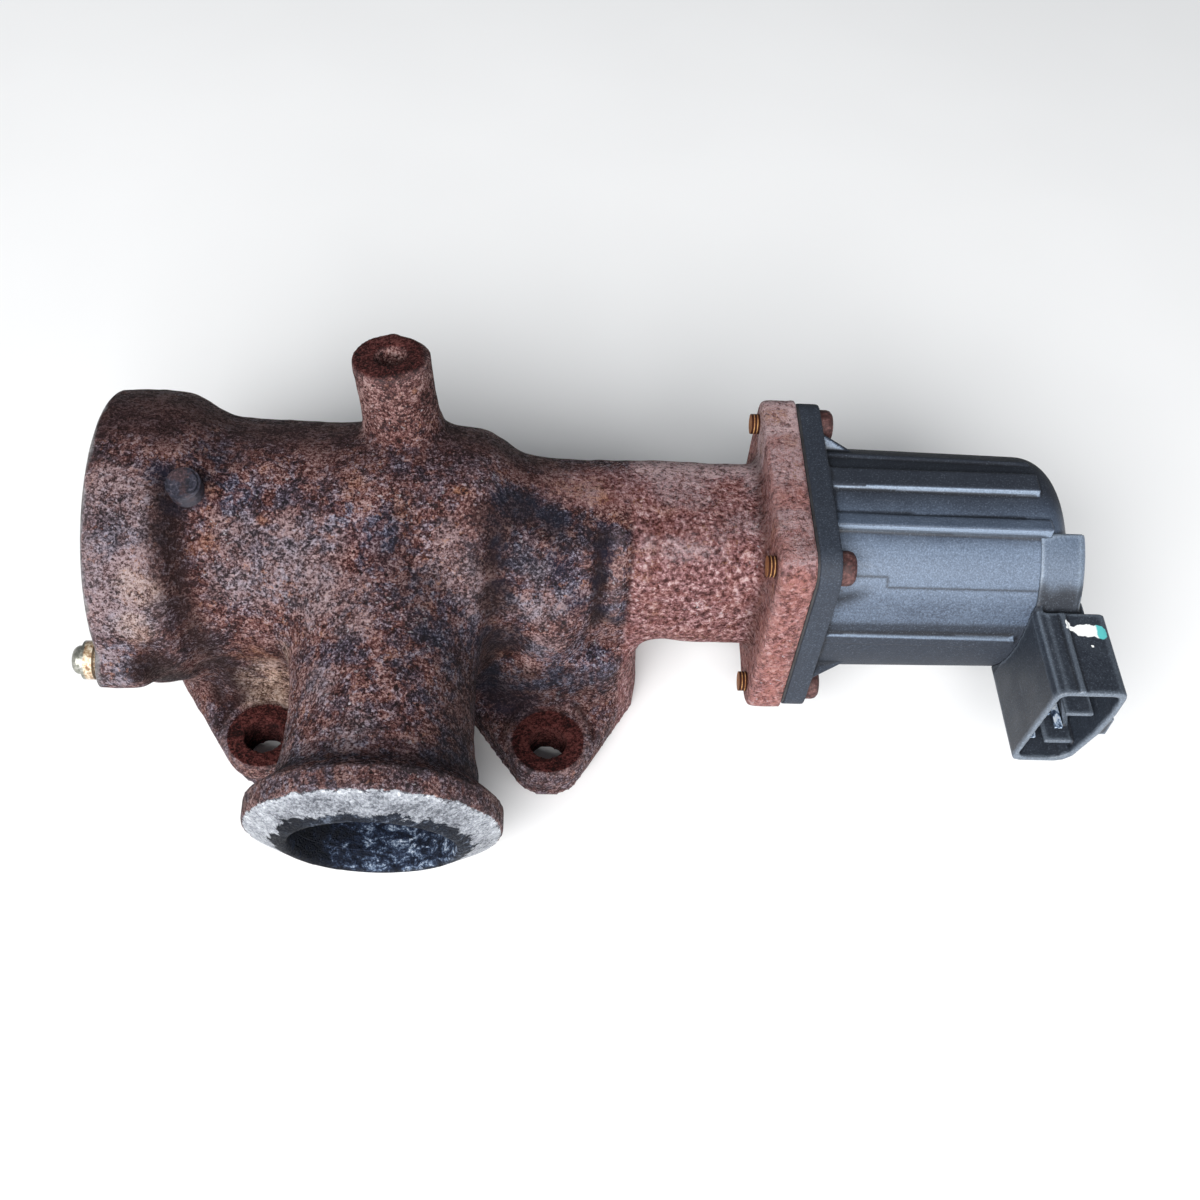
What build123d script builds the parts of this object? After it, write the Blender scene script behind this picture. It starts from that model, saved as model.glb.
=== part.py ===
from build123d import *
import math
import os

# ---------------------------------------------------------------------------
# Exhaust gas recirculation valve, motor driven, single poppet.
# Millimetres. Origin: centre of the four-bolt mounting pattern, on the
# mounting plane, straight under the valve axis. +X runs along the valve axis
# towards the motor, +Z up out of the mounting face, -Y towards the branch port.
# Everything is drawn about the valve axis (Z = 0 there) and lifted by AXIS_Z.
# ---------------------------------------------------------------------------

# driving dimensions
AXIS_Z = 44.0            # valve axis above the mounting plane
X_FACE = -70.1           # gas inlet (bell) face
BELL_R = 35.7            # bell outside
BODY_R = 29.6            # chamber casting outside
BELL_BORE_R = 27.5       # inlet bore, as deep as the open poppet allows
BELL_BORE_X = -58.6
BELL_INNER_R = 26.5
SEAT_OD_R = 25.0
CHAMBER_R = 22.5
GUIDE_OD_R = 8.0
SEAL_OD_R = 10.0
POCKET_R = 15.5          # spring pocket in the neck
NECK_HALF = 19.5         # neck half width, square with round corners
NECK_CORNER = 12.0
X_NECK0 = 28.0
X_FLANGE0 = 85.5         # back of the cast actuator flange
X_FLANGE1 = 94.2         # front of it
GASKET_T = 0.6
X_PLATE0 = X_FLANGE1 + GASKET_T
X_PLATE1 = 100.0
FLANGE_HALF = 29.0
FLANGE_CORNER = 7.3
SCREW_AT = 23.0          # actuator screw offset from the axis, both ways
SCREW_R = 2.5            # M5
LUG_X = 35.5             # mounting holes, 71 apart along X
LUG_Y = 35.85            # and 71.7 apart along Y
LUG_HOLE_R = 4.75
LUG_T = 10.7
SPOT_R = 9.04
PORT_X = -4.1            # branch port position along the valve axis
PORT_TILT = 11.6         # branch points this far below horizontal
PORT_L = 73.8            # front edge of the branch rim from the valve axis
PORT_RIM_R = 29.15
PORT_PIPE_R = 21.75
PORT_BORE_R = 18.75
PORT_SEAT_R = 28.5       # outer edge of the raised conical sealing seat
PORT_SEAT_H = 4.1        # the seat stands this far proud of the rim
PORT_LIP_R = 19.9        # top of the seat, where the lip begins
BOSS_R = 9.07
BOSS_TOP = 49.3          # boss top from the valve axis
BOSS_HOLE_R = 3.4
BOSS_HOLE_D = 18.0
STEM_R = 4.0
LIFT = 8.0               # valve travel
HOUSING_R0 = 27.4        # motor housing at the plate
HOUSING_R1 = 26.6        # and where its end starts to round
X_HOUSING = 158.5        # end of the housing
RUN = 0.05               # running clearance, radial

os.makedirs("parts", exist_ok=True)


def save(shape, name):
    shape = Pos(0, 0, AXIS_Z) * shape
    export_step(shape, "parts/" + name + ".step")
    vol = sum(s.volume for s in shape.solids())
    print(f"{name:26s} solids {len(shape.solids()):2d}  volume {vol:10.1f}")


def xcyl(r, x0, x1, y=0.0, z=0.0):
    return Pos((x0 + x1) / 2, y, z) * Rot(0, 90, 0) * Cylinder(r, x1 - x0)


def xring(ro, ri, x0, x1):
    return xcyl(ro, x0, x1) - xcyl(ri, x0 - 1, x1 + 1)


def xrev(pts):
    """Solid of revolution about the valve axis from (x, r) points."""
    face = make_face(Polyline(*[(x, 0, r) for x, r in pts], close=True))
    return revolve(face, Axis.X, 360)


def xsquare(half, corner, x0, x1):
    sk = RectangleRounded(2 * half, 2 * half, corner)
    return Pos(x0, 0, 0) * Rot(0, 90, 0) * extrude(sk, x1 - x0)


def slab(points, z0, z1):
    face = make_face(Polyline(*[(x, y, z0) for x, y in points], close=True))
    return extrude(face, z1 - z0, dir=(0, 0, 1))


def zcyl(r, x, y, z0, z1):
    return Pos(x, y, (z0 + z1) / 2) * Cylinder(r, z1 - z0)


def circle_hull(cx, cy, r, others, n=40):
    """Convex outline round a circle and some points."""
    pts = [(cx + r * math.cos(2 * math.pi * k / n),
            cy + r * math.sin(2 * math.pi * k / n)) for k in range(n)] + list(others)
    pts = sorted(set((round(a, 4), round(b, 4)) for a, b in pts))

    def half(seq):
        out = []
        for p in seq:
            while len(out) > 1 and ((out[-1][0] - out[-2][0]) * (p[1] - out[-2][1])
                                    - (out[-1][1] - out[-2][1]) * (p[0] - out[-2][0])) <= 0:
                out.pop()
            out.append(p)
        return out
    lo, up = half(pts), half(reversed(pts))
    return lo[:-1] + up[:-1]


Z0 = -AXIS_Z             # mounting plane seen from the valve axis
Z1 = Z0 + LUG_T          # spot faces

# ------------------------------------------------------------- valve body ---
outer = xrev([(X_FACE, 0), (X_FACE, 34.4), (-68.8, BELL_R), (-54.0, BELL_R),
              (-51.0, 34.9), (-48.0, 32.6), (-45.6, 30.6), (-43.0, BODY_R),
              (18.6, BODY_R), (20.6, 28.6), (23.0, 26.0), (26.5, 23.7), (31.0, 22.4),
              (46.0, 21.5), (56.0, 20.0), (56.0, 0)])
neck = xsquare(NECK_HALF, NECK_CORNER, X_NECK0, X_FLANGE0 + 3)
flange = xsquare(FLANGE_HALF, FLANGE_CORNER, X_FLANGE0, X_FLANGE1)
body = outer + neck + flange

# corner webs that carry the actuator screws into the neck
for sy in (-1, 1):
    for sz in (-1, 1):
        body += xcyl(6.3, X_FLANGE0 - 0.0, X_FLANGE1, sy * SCREW_AT, sz * SCREW_AT)

# front bulge of the chamber end, above the right-hand lug
bulge = Pos(34.5, -4.5, -5.0) * Rot(0, 90, 0) * Cylinder(22.0, 17.0)
bulge = fillet(bulge.edges().filter_by(GeomType.CIRCLE), 6.5)
body += bulge

# saddles: one under each end of the chamber, with a lug front and rear
left_pts = [(-59.5, -17), (-52.9, -26.0), (-48.6, -34.0), (-16.5, -17), (-16.5, 0), (-59.5, 0)]
right_pts = [(11.0, -17), (22.5, -33.5), (58.2, -17.0), (58.9, -10), (58.9, 0), (11.0, 0)]
for sy in (1, -1):
    lp = circle_hull(-LUG_X, -LUG_Y, 10.0, left_pts)
    rp = circle_hull(LUG_X, -LUG_Y, 10.6, right_pts)
    low_l = circle_hull(-LUG_X, -LUG_Y, 8.2, [(x + (1.8 if x < -30 else 0), y) for x, y in left_pts])
    low_r = circle_hull(LUG_X, -LUG_Y, 9.6, right_pts)
    for hi, lo in ((lp, low_l), (rp, low_r)):
        hi = [(x, sy * y) for x, y in hi]
        lo = [(x, sy * y) for x, y in lo]
        body += slab(hi, Z0 + 4.5, Z1)
        body += slab(lo, Z0, Z0 + 4.5)
    # pedestals from the lugs up into the chamber
    ped_l = [(-57.5, -16), (-53.0, -23), (-47.0, -26.0), (-18.5, -26.0), (-18.5, 0), (-57.5, 0)]
    ped_r = [(13.0, -26.0), (51.0, -26.0), (57.4, -17.0), (58.2, -10), (58.2, 0), (13.0, 0)]
    body += slab([(x, sy * y) for x, y in ped_l], Z1 - 1, -16)
    body += slab([(x, sy * y) for x, y in ped_r], Z1 - 1, -15)

# inlet ear with the dowel
EAR_Y, EAR_Z, EAR_X0 = -32.4, -7.5, -71.5
body += xcyl(6.4, EAR_X0, -58.5, EAR_Y, EAR_Z)
body += Pos(-64.3, -27.0, -6.2) * Rot(13, 0, 0) * Box(11.6, 11.0, 12.4)

# branch pipe, pointing to -Y and a little down
PORT_N = (0, -math.cos(math.radians(PORT_TILT)), -math.sin(math.radians(PORT_TILT)))
port_plane = Plane(origin=(PORT_X, 0, 0), z_dir=PORT_N, x_dir=(1, 0, 0))


def port_rev(pts):
    face = make_face(Polyline(*[(r, 0, l) for r, l in pts], close=True))
    return port_plane.location * revolve(face, Axis.Z, 360)


body += port_rev([(0, 6), (PORT_PIPE_R + 3.4, 6), (PORT_PIPE_R + 2.6, 24), (PORT_PIPE_R + 0.6, 34),
                  (PORT_PIPE_R, 44), (PORT_PIPE_R, 56), (PORT_PIPE_R + 0.9, 58.5),
                  (PORT_PIPE_R + 1.5, 63.6), (PORT_RIM_R - 2.2, 66.6), (PORT_RIM_R, 68.4),
                  (PORT_RIM_R, PORT_L - 0.5), (PORT_SEAT_R, PORT_L), (PORT_LIP_R, PORT_L + PORT_SEAT_H),
                  (0, PORT_L + PORT_SEAT_H)])

# top boss
boss_n = Vector(-0.104, math.sin(math.radians(7.3)), math.cos(math.radians(7.3))).normalized()
BOSS_END = (-3.6, 14.6, 48.9)
boss_plane = Plane(origin=BOSS_END, z_dir=boss_n, x_dir=(1, 0, 0))
boss_face = make_face(Polyline((0, 0, -34), (BOSS_R + 2.2, 0, -34), (BOSS_R + 1.4, 0, -21.5),
                               (BOSS_R + 0.4, 0, -18), (BOSS_R, 0, -15), (BOSS_R, 0, -0.5),
                               (BOSS_R - 0.5, 0, 0), (0, 0, 0), close=True))
body += boss_plane.location * revolve(boss_face, Axis.Z, 360)

# small plug boss in the valley beside the bell
plug_n = Vector(0, -0.358, 0.934)
plug_plane = Plane(origin=Vector(-48.0, 0, 0) + plug_n * 35.2, z_dir=plug_n, x_dir=(1, 0, 0))
body += plug_plane.location * (Pos(0, 0, -4.5) * Cylinder(5.2, 6.0))

# hollows
body -= xrev([(X_FACE - 3, 0), (X_FACE - 3, BELL_BORE_R + 0.9), (X_FACE, BELL_BORE_R + 0.9), (X_FACE, BELL_BORE_R),
              (BELL_BORE_X, BELL_BORE_R), (BELL_BORE_X + 0.8, BELL_INNER_R),
              (-46.0, BELL_INNER_R), (-46.0, SEAT_OD_R), (-38.0, SEAT_OD_R), (-38.0, CHAMBER_R), (17.0, CHAMBER_R),
              (22.0, 20.0), (26.0, 14.0), (27.5, GUIDE_OD_R + 2.5), (30.0, GUIDE_OD_R + 2.5),
              (30.0, GUIDE_OD_R), (60.0, GUIDE_OD_R), (60.0, SEAL_OD_R), (66.0, SEAL_OD_R),
              (66.0, POCKET_R), (X_FLANGE1 + 1, POCKET_R), (X_FLANGE1 + 1, 0)])
PORT_END = PORT_L + PORT_SEAT_H
body -= port_rev([(0, 8), (PORT_BORE_R, 8), (PORT_BORE_R, PORT_END - 0.6),
                  (PORT_BORE_R + 0.6, PORT_END), (PORT_BORE_R + 0.6, PORT_END + 1), (0, PORT_END + 1)])
for sx in (-1, 1):
    for sy in (-1, 1):
        body -= zcyl(LUG_HOLE_R, sx * LUG_X, sy * LUG_Y, Z0 - 1, Z1 + 3)
        body -= zcyl(SPOT_R, sx * LUG_X, sy * LUG_Y, Z1 - 0.0, Z1 + 9.0)
body -= boss_plane.location * (Pos(0, 0, -BOSS_HOLE_D / 2 + 0.5) * Cylinder(BOSS_HOLE_R, BOSS_HOLE_D + 1))
body -= boss_plane.location * (Pos(0, 0, -0.25) * Cone(BOSS_HOLE_R, BOSS_HOLE_R + 0.9, 0.9))
body -= xcyl(3.0, EAR_X0 - 1, EAR_X0 + 9, EAR_Y, EAR_Z)
body -= plug_plane.location * (Pos(0, 0, -2.0) * Cylinder(3.9, 5.0))
for sy in (-1, 1):
    for sz in (-1, 1):
        body -= xcyl(SCREW_R, X_FLANGE0 - 1, X_FLANGE1 + 1, sy * SCREW_AT, sz * SCREW_AT)
save(body, "valve_body")

# -------------------------------------------------------------- valve gear --
seat = xrev([(-45.0, 18.9), (-45.0, SEAT_OD_R), (-38.0, SEAT_OD_R), (-38.0, 17.0), (-43.1, 17.0)])
save(seat, "valve_seat")
head = xrev([(-49.5, 0), (-49.5, 19.2), (-48.9, 19.8), (-46.0, 19.8), (-42.98, 16.8),
             (-42.2, 12.0), (-38.0, 5.2), (-34.0, 5.2), (-34.0, STEM_R), (-49.0, STEM_R), (-49.0, 0)])
save(head, "poppet_head")
X_STEM1 = 93.5
GROOVE0, GROOVE1 = 89.4, 91.0
stem = xrev([(-49.0, 0), (-49.0, STEM_R), (GROOVE0, STEM_R), (GROOVE0, 3.2), (GROOVE1, 3.2),
             (GROOVE1, STEM_R), (X_STEM1 - 0.4, STEM_R), (X_STEM1, STEM_R - 0.4), (X_STEM1, 0)])
save(stem, "valve_stem")
save(xrev([(27.5, STEM_R + 0.6), (27.5, 10.5), (30.0, 10.5), (30.0, STEM_R + 0.6)]), "deposit_scraper")
save(xring(GUIDE_OD_R, STEM_R + RUN, 30.0, 60.0), "guide_bush")
save(xrev([(60.2, STEM_R + 0.06), (60.2, 5.6), (61.2, 5.6), (61.2, 8.6), (60.0, 8.6), (60.0, SEAL_OD_R),
           (65.4, SEAL_OD_R), (65.4, 5.2), (64.0, STEM_R + 0.06)]), "stem_seal")
save(xring(15.2, 7.0, 66.0, 67.2), "spring_seat")

# return spring
SP0, SP1, SP_R, SP_W = 67.2, 88.4, 11.4, 1.1
path = Helix(pitch=4.2, height=SP1 - SP0 - 2 * SP_W - 0.2, radius=SP_R, center=(0, 0, SP_W + 0.1), direction=(0, 0, 1))
wire = sweep(Plane(origin=path @ 0, z_dir=path % 0) * Circle(SP_W), path=path, is_frenet=True)
save(Pos(SP0, 0, 0) * Rot(0, 90, 0) * wire, "return_spring")

retainer = xrev([(88.4, 5.2), (88.4, 13.4), (90.2, 13.4), (91.0, 9.2), (93.0, 9.2), (93.0, 6.4)])
save(retainer, "spring_retainer")
collet = xrev([(88.4, STEM_R), (88.4, 5.2), (93.0, 6.4), (93.0, STEM_R), (GROOVE1, STEM_R),
               (GROOVE1, 3.2), (GROOVE0, 3.2), (GROOVE0, STEM_R)])
gap = Pos(90.7, 0, 0) * Box(8, 0.6, 30)
collet = collet - gap
save(Compound(children=list(collet.solids())), "retainer_collets")

# ---------------------------------------------------------------- gasket ----
gasket = xsquare(FLANGE_HALF - 0.4, FLANGE_CORNER - 0.4, X_FLANGE1, X_PLATE0) - xcyl(16.2, 90, 99)
for sy in (-1, 1):
    for sz in (-1, 1):
        gasket -= xcyl(2.75, 90, 99, sy * SCREW_AT, sz * SCREW_AT)
save(gasket, "actuator_gasket")

# ------------------------------------------------------------ motor housing -
X_STRAIGHT = 150.5
END_R = 8.0
arc = [(X_STRAIGHT + END_R * math.sin(a), HOUSING_R1 - END_R + END_R * math.cos(a))
       for a in [math.radians(10 * k) for k in range(10)]]


def housing_profile(grow=0.0):
    return ([(X_PLATE0, 0), (X_PLATE0, HOUSING_R0 + grow)]
            + [(x + grow * (1 if x > X_STRAIGHT + 0.1 else 0), r + grow) for x, r in arc]
            + [(X_HOUSING + grow, 0)])


housing = xrev(housing_profile()) + xsquare(FLANGE_HALF, FLANGE_CORNER, X_PLATE0, X_PLATE1)


def strip(angle, x0, x1, width, out, depth=3.0):
    """Raised strip along the housing, centred on an angle from +Y towards +Z."""
    rm = HOUSING_R0 - (HOUSING_R0 - HOUSING_R1) * (0.5 * (x0 + x1) - X_PLATE0) / (X_STRAIGHT - X_PLATE0)
    tilt = math.degrees(math.atan((HOUSING_R0 - HOUSING_R1) / (X_STRAIGHT - X_PLATE0)))
    b = Pos((x0 + x1) / 2, rm + out - depth / 2, 0) * Rot(0, 0, -tilt) * Box(x1 - x0, depth, width)
    return Rot(angle, 0, 0) * b


for a, x0, x1, w in ((66.0, X_PLATE1 - 1, 151.0, 1.6), (268.0, X_PLATE1 - 1, 150.0, 1.6),
                     (-27.0, X_PLATE1 - 1, 150.0, 1.6), (20.0, X_PLATE1 - 1, 150.0, 1.6)):
    housing += strip(a, x0, x1, w, 0.75)
# ledges with upright front walls: (x end, y front, y back, z top, z bottom)
LEDGES = [(150.8, -1.6, 4.4, 28.2, 20.0), (152.4, -12.3, -8.8, 26.4, 18.0), (146.5, -28.2, -20.0, 3.7, 0.9)]
ledges = [Pos((X_PLATE1 - 1 + x1) / 2, (y0 + y1) / 2, (z0 + z1) / 2) * Box(x1 - X_PLATE1 + 1, y1 - y0, z1 - z0)
          for x1, y0, y1, z1, z0 in LEDGES]
for led in ledges:
    housing += led
# fins between plate and barrel
for a in (57.0, 205.0, -33.0, 293.0):
    tip_r = min(31.6, 28.4 / max(abs(math.cos(math.radians(a))), abs(math.sin(math.radians(a)))))
    fin = make_face(Polyline((X_PLATE1 - 1, 24.0, 0), (X_PLATE1 - 1, tip_r, 0), (X_PLATE1, tip_r, 0),
                             (X_PLATE1 + 8.6, 26.9, 0), (X_PLATE1 + 8.6, 24.0, 0), close=True))
    housing += Rot(a, 0, 0) * (Pos(0, 0, -0.8) * extrude(fin, 1.6, dir=(0, 0, 1)))
# half-round screw pockets scooped where the heads stand beside the barrel
for sy in (-1, 1):
    for sz in (-1, 1):
        housing -= xcyl(5.4, X_PLATE1, X_PLATE1 + 9.5, sy * SCREW_AT, sz * SCREW_AT)
        housing -= xcyl(2.75, X_PLATE0 - 1, X_PLATE1 + 1, sy * SCREW_AT, sz * SCREW_AT)
# inside
X_CAV1 = 152.0
housing -= xrev([(X_PLATE0 - 1, 0), (X_PLATE0 - 1, 24.0), (98.0, 24.0), (98.0, 23.6), (148.0, 23.6),
                 (X_CAV1, 20.0), (X_CAV1, 5.0), (156.5, 5.0), (156.5, 0)])

# ---------------------------------------------------------- connector -------
CX0, CX1 = 148.8, 165.7     # shroud, along the valve axis
CZ0, CZ1 = -15.8, 13.2
CY0, CY1 = -49.5, -21.0
WALL = 1.4
LEAN = 2.2                  # the inboard wall leans out this far towards the bottom
MOUTH_D = 19.0
sector = xrev([(149.5, 0), (149.5, 27.2), (159.2, 27.0), (160.5, 26.3), (161.0, 25.0), (161.6, 20.0), (161.6, 0)])
wedge = make_face(Polyline((145, -11.2, 24.3), (145, -60, 24.3), (145, -60, -19), (145, -11.2, -19), close=True))
sector = sector & extrude(wedge, 30, dir=(1, 0, 0))


def shroud_outline(inset, y):
    x0, x1, z0, z1 = CX0 + inset, CX1 - inset, CZ0 + inset, CZ1 - inset
    xb = x0 - LEAN
    r = 2.6 - 0.8 * inset
    pts = [(x0 + r, z1), (x1 - 1.6, z1), (x1 - 0.4, z1 - 0.6), (x1, z1 - 2.4), (x1 - 0.2, 4.5), (x1 - 1.4, -3.6),
           (x1 - 4.4 + 0.3 * inset, z0 + 2.4), (x1 - 6.2, z0 + 0.6), (x1 - 8.4, z0), (xb + 2.6, z0), (xb + 0.8, z0 + 0.5),
           (xb, z0 + 1.8), (x0, z1 - r), (x0 + 0.3 * r, z1 - 0.3 * r)]
    return make_face(Polyline(*[(x, y, z) for x, z in pts], close=True))


connector = extrude(shroud_outline(0, CY0), CY1 - CY0, dir=(0, 1, 0))
# the shroud is stepped back from the end block along its top and outer side
connector -= Pos(160.5, -22.2, 13.0) * Box(19.0, 8.2, 4.8)
connector -= Pos(167.0, -22.2, 0.0) * Box(10.0, 8.2, 40.0)
connector += sector
# neck between the shroud and the end block
connector += Pos(156.5, -23.0, -2.0) * Box(11.0, 8.6, 22.0)
# key rib along the top, latch nib on the outer side
connector += Pos(154.9, -38.0, CZ1 + 0.1) * Box(1.1, 22.6, 1.0)
connector += Pos(CX1 - 1.0, -46.5, -1.0) * Box(3.0, 5.0, 6.5)
connector -= xrev(housing_profile(0.0))
for led in ledges:
    connector -= led
connector -= extrude(shroud_outline(WALL, CY0 - 1), MOUTH_D + 1, dir=(0, 1, 0))
# key inside the mouth: two shelves joined by a slanting web that starts further in
KEY_Y0, KEY_Y1 = CY0 + 2.0, CY0 + MOUTH_D
KEY_M, KEY_L = (KEY_Y0 + KEY_Y1) / 2, KEY_Y1 - KEY_Y0
connector += Pos(158.5, KEY_M, 1.5) * Box(6.6, KEY_L, 1.2)
connector += Pos(157.1, KEY_M, -10.2) * Box(6.6, KEY_L, 1.2)
WEB_Y0 = KEY_Y0 + 4.5
web = make_face(Polyline((155.2, WEB_Y0, 2.1), (156.4, WEB_Y0, 2.1), (160.4, WEB_Y0, -9.6), (160.4, WEB_Y0, -10.8),
                         (159.6, WEB_Y0, -10.8), (155.2, WEB_Y0, 0.9), close=True))
connector += extrude(web, KEY_Y1 - WEB_Y0, dir=(0, 1, 0))

# terminals: five blades, bent inboard to the sensor board
BLADES = [(154.5, 7.2), (160.8, 7.2), (152.0, -2.0), (157.0, -7.6), (151.8, -12.0)]
terminals = []
slots = []
X_PCB0, X_PCB1 = 147.2, 148.8
for xc, zc in BLADES:
    inner_y = -27.6
    blade = Pos(xc, (CY0 + 4.5 + inner_y) / 2, zc) * Box(1.8, inner_y - CY0 - 4.5, 0.8)
    terminals.append(blade)
    slots.append(Pos(xc, (CY0 + MOUTH_D - 1 + inner_y) / 2, zc) * Box(1.8, inner_y - CY0 - MOUTH_D + 1, 0.8))
for s in slots:
    connector -= s
save(housing, "motor_housing")
save(connector, "connector_shroud")
save(Compound(children=terminals), "connector_terminals")

# ------------------------------------------------------------- motor inside -
# front cover with bearing cup and the flat-sided hole that keeps the screw from turning
cover = xcyl(24.0, X_PLATE0, 98.0) + xring(12.8, 11.0, 97.0, 103.8)
DD_R, DD_F = 4.0, 3.0
dd_hole = xcyl(DD_R + RUN, 94, 99) & (Pos(96.5, 0, 0) * Box(10, 2 * (DD_F + RUN), 20))
cover -= dd_hole
cover -= xcyl(6.2, 97.2, 99)
save(cover, "front_cover_plate")

screw = xcyl(DD_R, X_STEM1, 105.8) & (Pos(100, 0, 0) * Box(20, 2 * DD_F, 20))
screw += xrev([(105.0, 0), (105.0, 3.0), (137.5, 3.0), (138.0, 2.5), (138.0, 0)])
save(screw, "lead_screw")

save(xring(11.0, 9.3, 99.0, 103.8) - xrev([(100.0, 9.0), (100.0, 9.6), (102.8, 9.6), (102.8, 9.0)]),
     "front_bearing_outer_ring")
save(xring(7.3, 5.6, 99.0, 103.8), "front_bearing_inner_ring")
balls = [Rot(40 * k, 0, 0) * (Pos(101.4, 8.4, 0) * Sphere(1.04)) for k in range(9)]
save(Compound(children=balls), "front_bearing_balls")

nut = xrev([(98.4, 4.3), (98.4, 5.6), (103.8, 5.6), (103.8, 7.0), (144.0, 7.0), (144.0, 4.5),
            (145.0, 4.0), (155.5, 4.0), (155.5, 0), (141.0, 0), (141.0, 3.6), (127.0, 3.6),
            (127.0, 3.0 + RUN), (107.0, 3.0 + RUN), (106.4, 4.3)])
save(nut, "rotor_nut")
save(xring(13.0, 7.0, 108.0, 140.0), "rotor_magnet")
save(xring(6.4, 4.5, 144.0, 145.0) + xring(6.4, 4.0, 145.0, 146.4), "sensor_magnet")
save(xring(5.0, 4.0 + RUN, 152.0, 156.5), "rear_bush")

core = xring(23.6, 20.2, 110.0, 138.0)
for k in range(6):
    core += Rot(60 * k, 0, 0) * (Pos(124.0, 17.1, 0) * Box(28.0, 6.6, 5.6))
    core += Rot(60 * k, 0, 0) * (xcyl(15.2, 110.0, 138.0) - xcyl(13.6, 109.0, 139.0)
                                 & (Pos(124.0, 14.4, 0) * Box(28.0, 6.0, 11.0)))
save(core, "stator_core")
coils = []
for k in range(6):
    c = Box(34.0, 3.6, 11.6) - Box(28.0, 6.0, 5.6)
    coils.append(Rot(60 * k, 0, 0) * (Pos(124.0, 17.35, 0) * c))
save(Compound(children=coils), "stator_coils")

board = xring(20.0, 9.0, X_PCB0, X_PCB1)
save(board, "position_sensor_board")
save(xring(21.5, 15.0, 141.2, X_PCB0), "board_carrier")

# -------------------------------------------------------------- fasteners ---
screws = []
for sy in (-1, 1):
    for sz in (-1, 1):
        s = xcyl(SCREW_R - 0.02, X_FLANGE0 - 2.0, X_PLATE1 + 1, sy * SCREW_AT, sz * SCREW_AT)
        h = make_face(Polyline((0, 0, 0), (0, 0, 4.1), (2.3, 0, 4.1), (3.1, 0, 3.85), (3.7, 0, 3.2), (3.9, 0, 2.3),
                               (3.9, 0, 0), close=True))
        h = revolve(h, Axis.X, 360) - Pos(2.1, 0, 0) * Rot(0, 90, 0) * extrude(RegularPolygon(2.3, 6), 3)
        h = Pos(X_PLATE1, sy * SCREW_AT, sz * SCREW_AT) * h
        screws.append(s + h)
save(Compound(children=screws), "actuator_screws")

dowel = (xcyl(3.0, EAR_X0 - 1, EAR_X0 + 8.8, EAR_Y, EAR_Z) + xcyl(4.6, EAR_X0 - 2.6, EAR_X0, EAR_Y, EAR_Z)
         + xcyl(3.4, EAR_X0 - 5.2, EAR_X0 - 2.6, EAR_Y, EAR_Z))
tip = dowel.edges().filter_by(GeomType.CIRCLE).sort_by(Axis.X)[0]
dowel = fillet(tip, 1.6)
save(dowel, "inlet_dowel")

plug = plug_plane.location * (Pos(0, 0, -2.0) * Cylinder(3.9, 5.0) + Pos(0, 0, 0.4) * Cylinder(3.2, 1.2))
save(plug, "core_plug")
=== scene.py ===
import math
import bmesh
import bpy
import numpy as np
from mathutils import Matrix, Vector


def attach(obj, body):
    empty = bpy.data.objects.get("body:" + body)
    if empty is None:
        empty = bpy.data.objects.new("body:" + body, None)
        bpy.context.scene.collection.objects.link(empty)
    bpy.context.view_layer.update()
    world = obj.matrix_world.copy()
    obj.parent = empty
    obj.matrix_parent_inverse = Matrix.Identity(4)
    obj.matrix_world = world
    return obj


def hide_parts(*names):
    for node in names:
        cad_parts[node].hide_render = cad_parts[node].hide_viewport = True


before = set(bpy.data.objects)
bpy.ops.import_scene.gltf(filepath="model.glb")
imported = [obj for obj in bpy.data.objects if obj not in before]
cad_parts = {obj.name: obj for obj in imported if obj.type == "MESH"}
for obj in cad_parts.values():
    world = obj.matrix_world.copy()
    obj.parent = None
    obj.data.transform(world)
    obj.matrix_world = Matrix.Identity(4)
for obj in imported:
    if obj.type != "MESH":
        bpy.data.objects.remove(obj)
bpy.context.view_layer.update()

SC = bpy.context.scene
SC.view_settings.view_transform = "Standard"
SC.view_settings.look = "None"
SC.view_settings.exposure = 0.0
SC.view_settings.gamma = 1.0
SC.unit_settings.system = "METRIC"
AX = 44.0                      # valve axis height, mm

# ------------------------------------------------------------------ camera --
ELEV, AZ, ROLL = map(math.radians, (51.82, 3.437, -1.61))
R0 = np.array([[1, 0, 0], [0, math.sin(ELEV), math.cos(ELEV)], [0, -math.cos(ELEV), math.sin(ELEV)]])
RY = np.array([[math.cos(AZ), 0, math.sin(AZ)], [0, 1, 0], [-math.sin(AZ), 0, math.cos(AZ)]])
RZ = np.array([[math.cos(ROLL), -math.sin(ROLL), 0], [math.sin(ROLL), math.cos(ROLL), 0], [0, 0, 1]])
RC = RZ @ RY @ R0
TC = np.array([47.326, 11.332, -348.017])
POS = (-RC.T @ TC + np.array([94.5, 0, AX])) / 1000
cam_data = bpy.data.cameras.new("camera")
cam_data.lens = 1377.45 / 1200 * 36
cam_data.sensor_width = 36
cam_data.clip_start = 0.01
cam_data.clip_end = 20
cam = bpy.data.objects.new("camera", cam_data)
SC.collection.objects.link(cam)
m = Matrix.Identity(4)
for i in range(3):
    for j in range(3):
        m[i][j] = float(RC.T[i][j])
    m[i][3] = float(POS[i])
cam.matrix_world = m
SC.camera = cam


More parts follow.
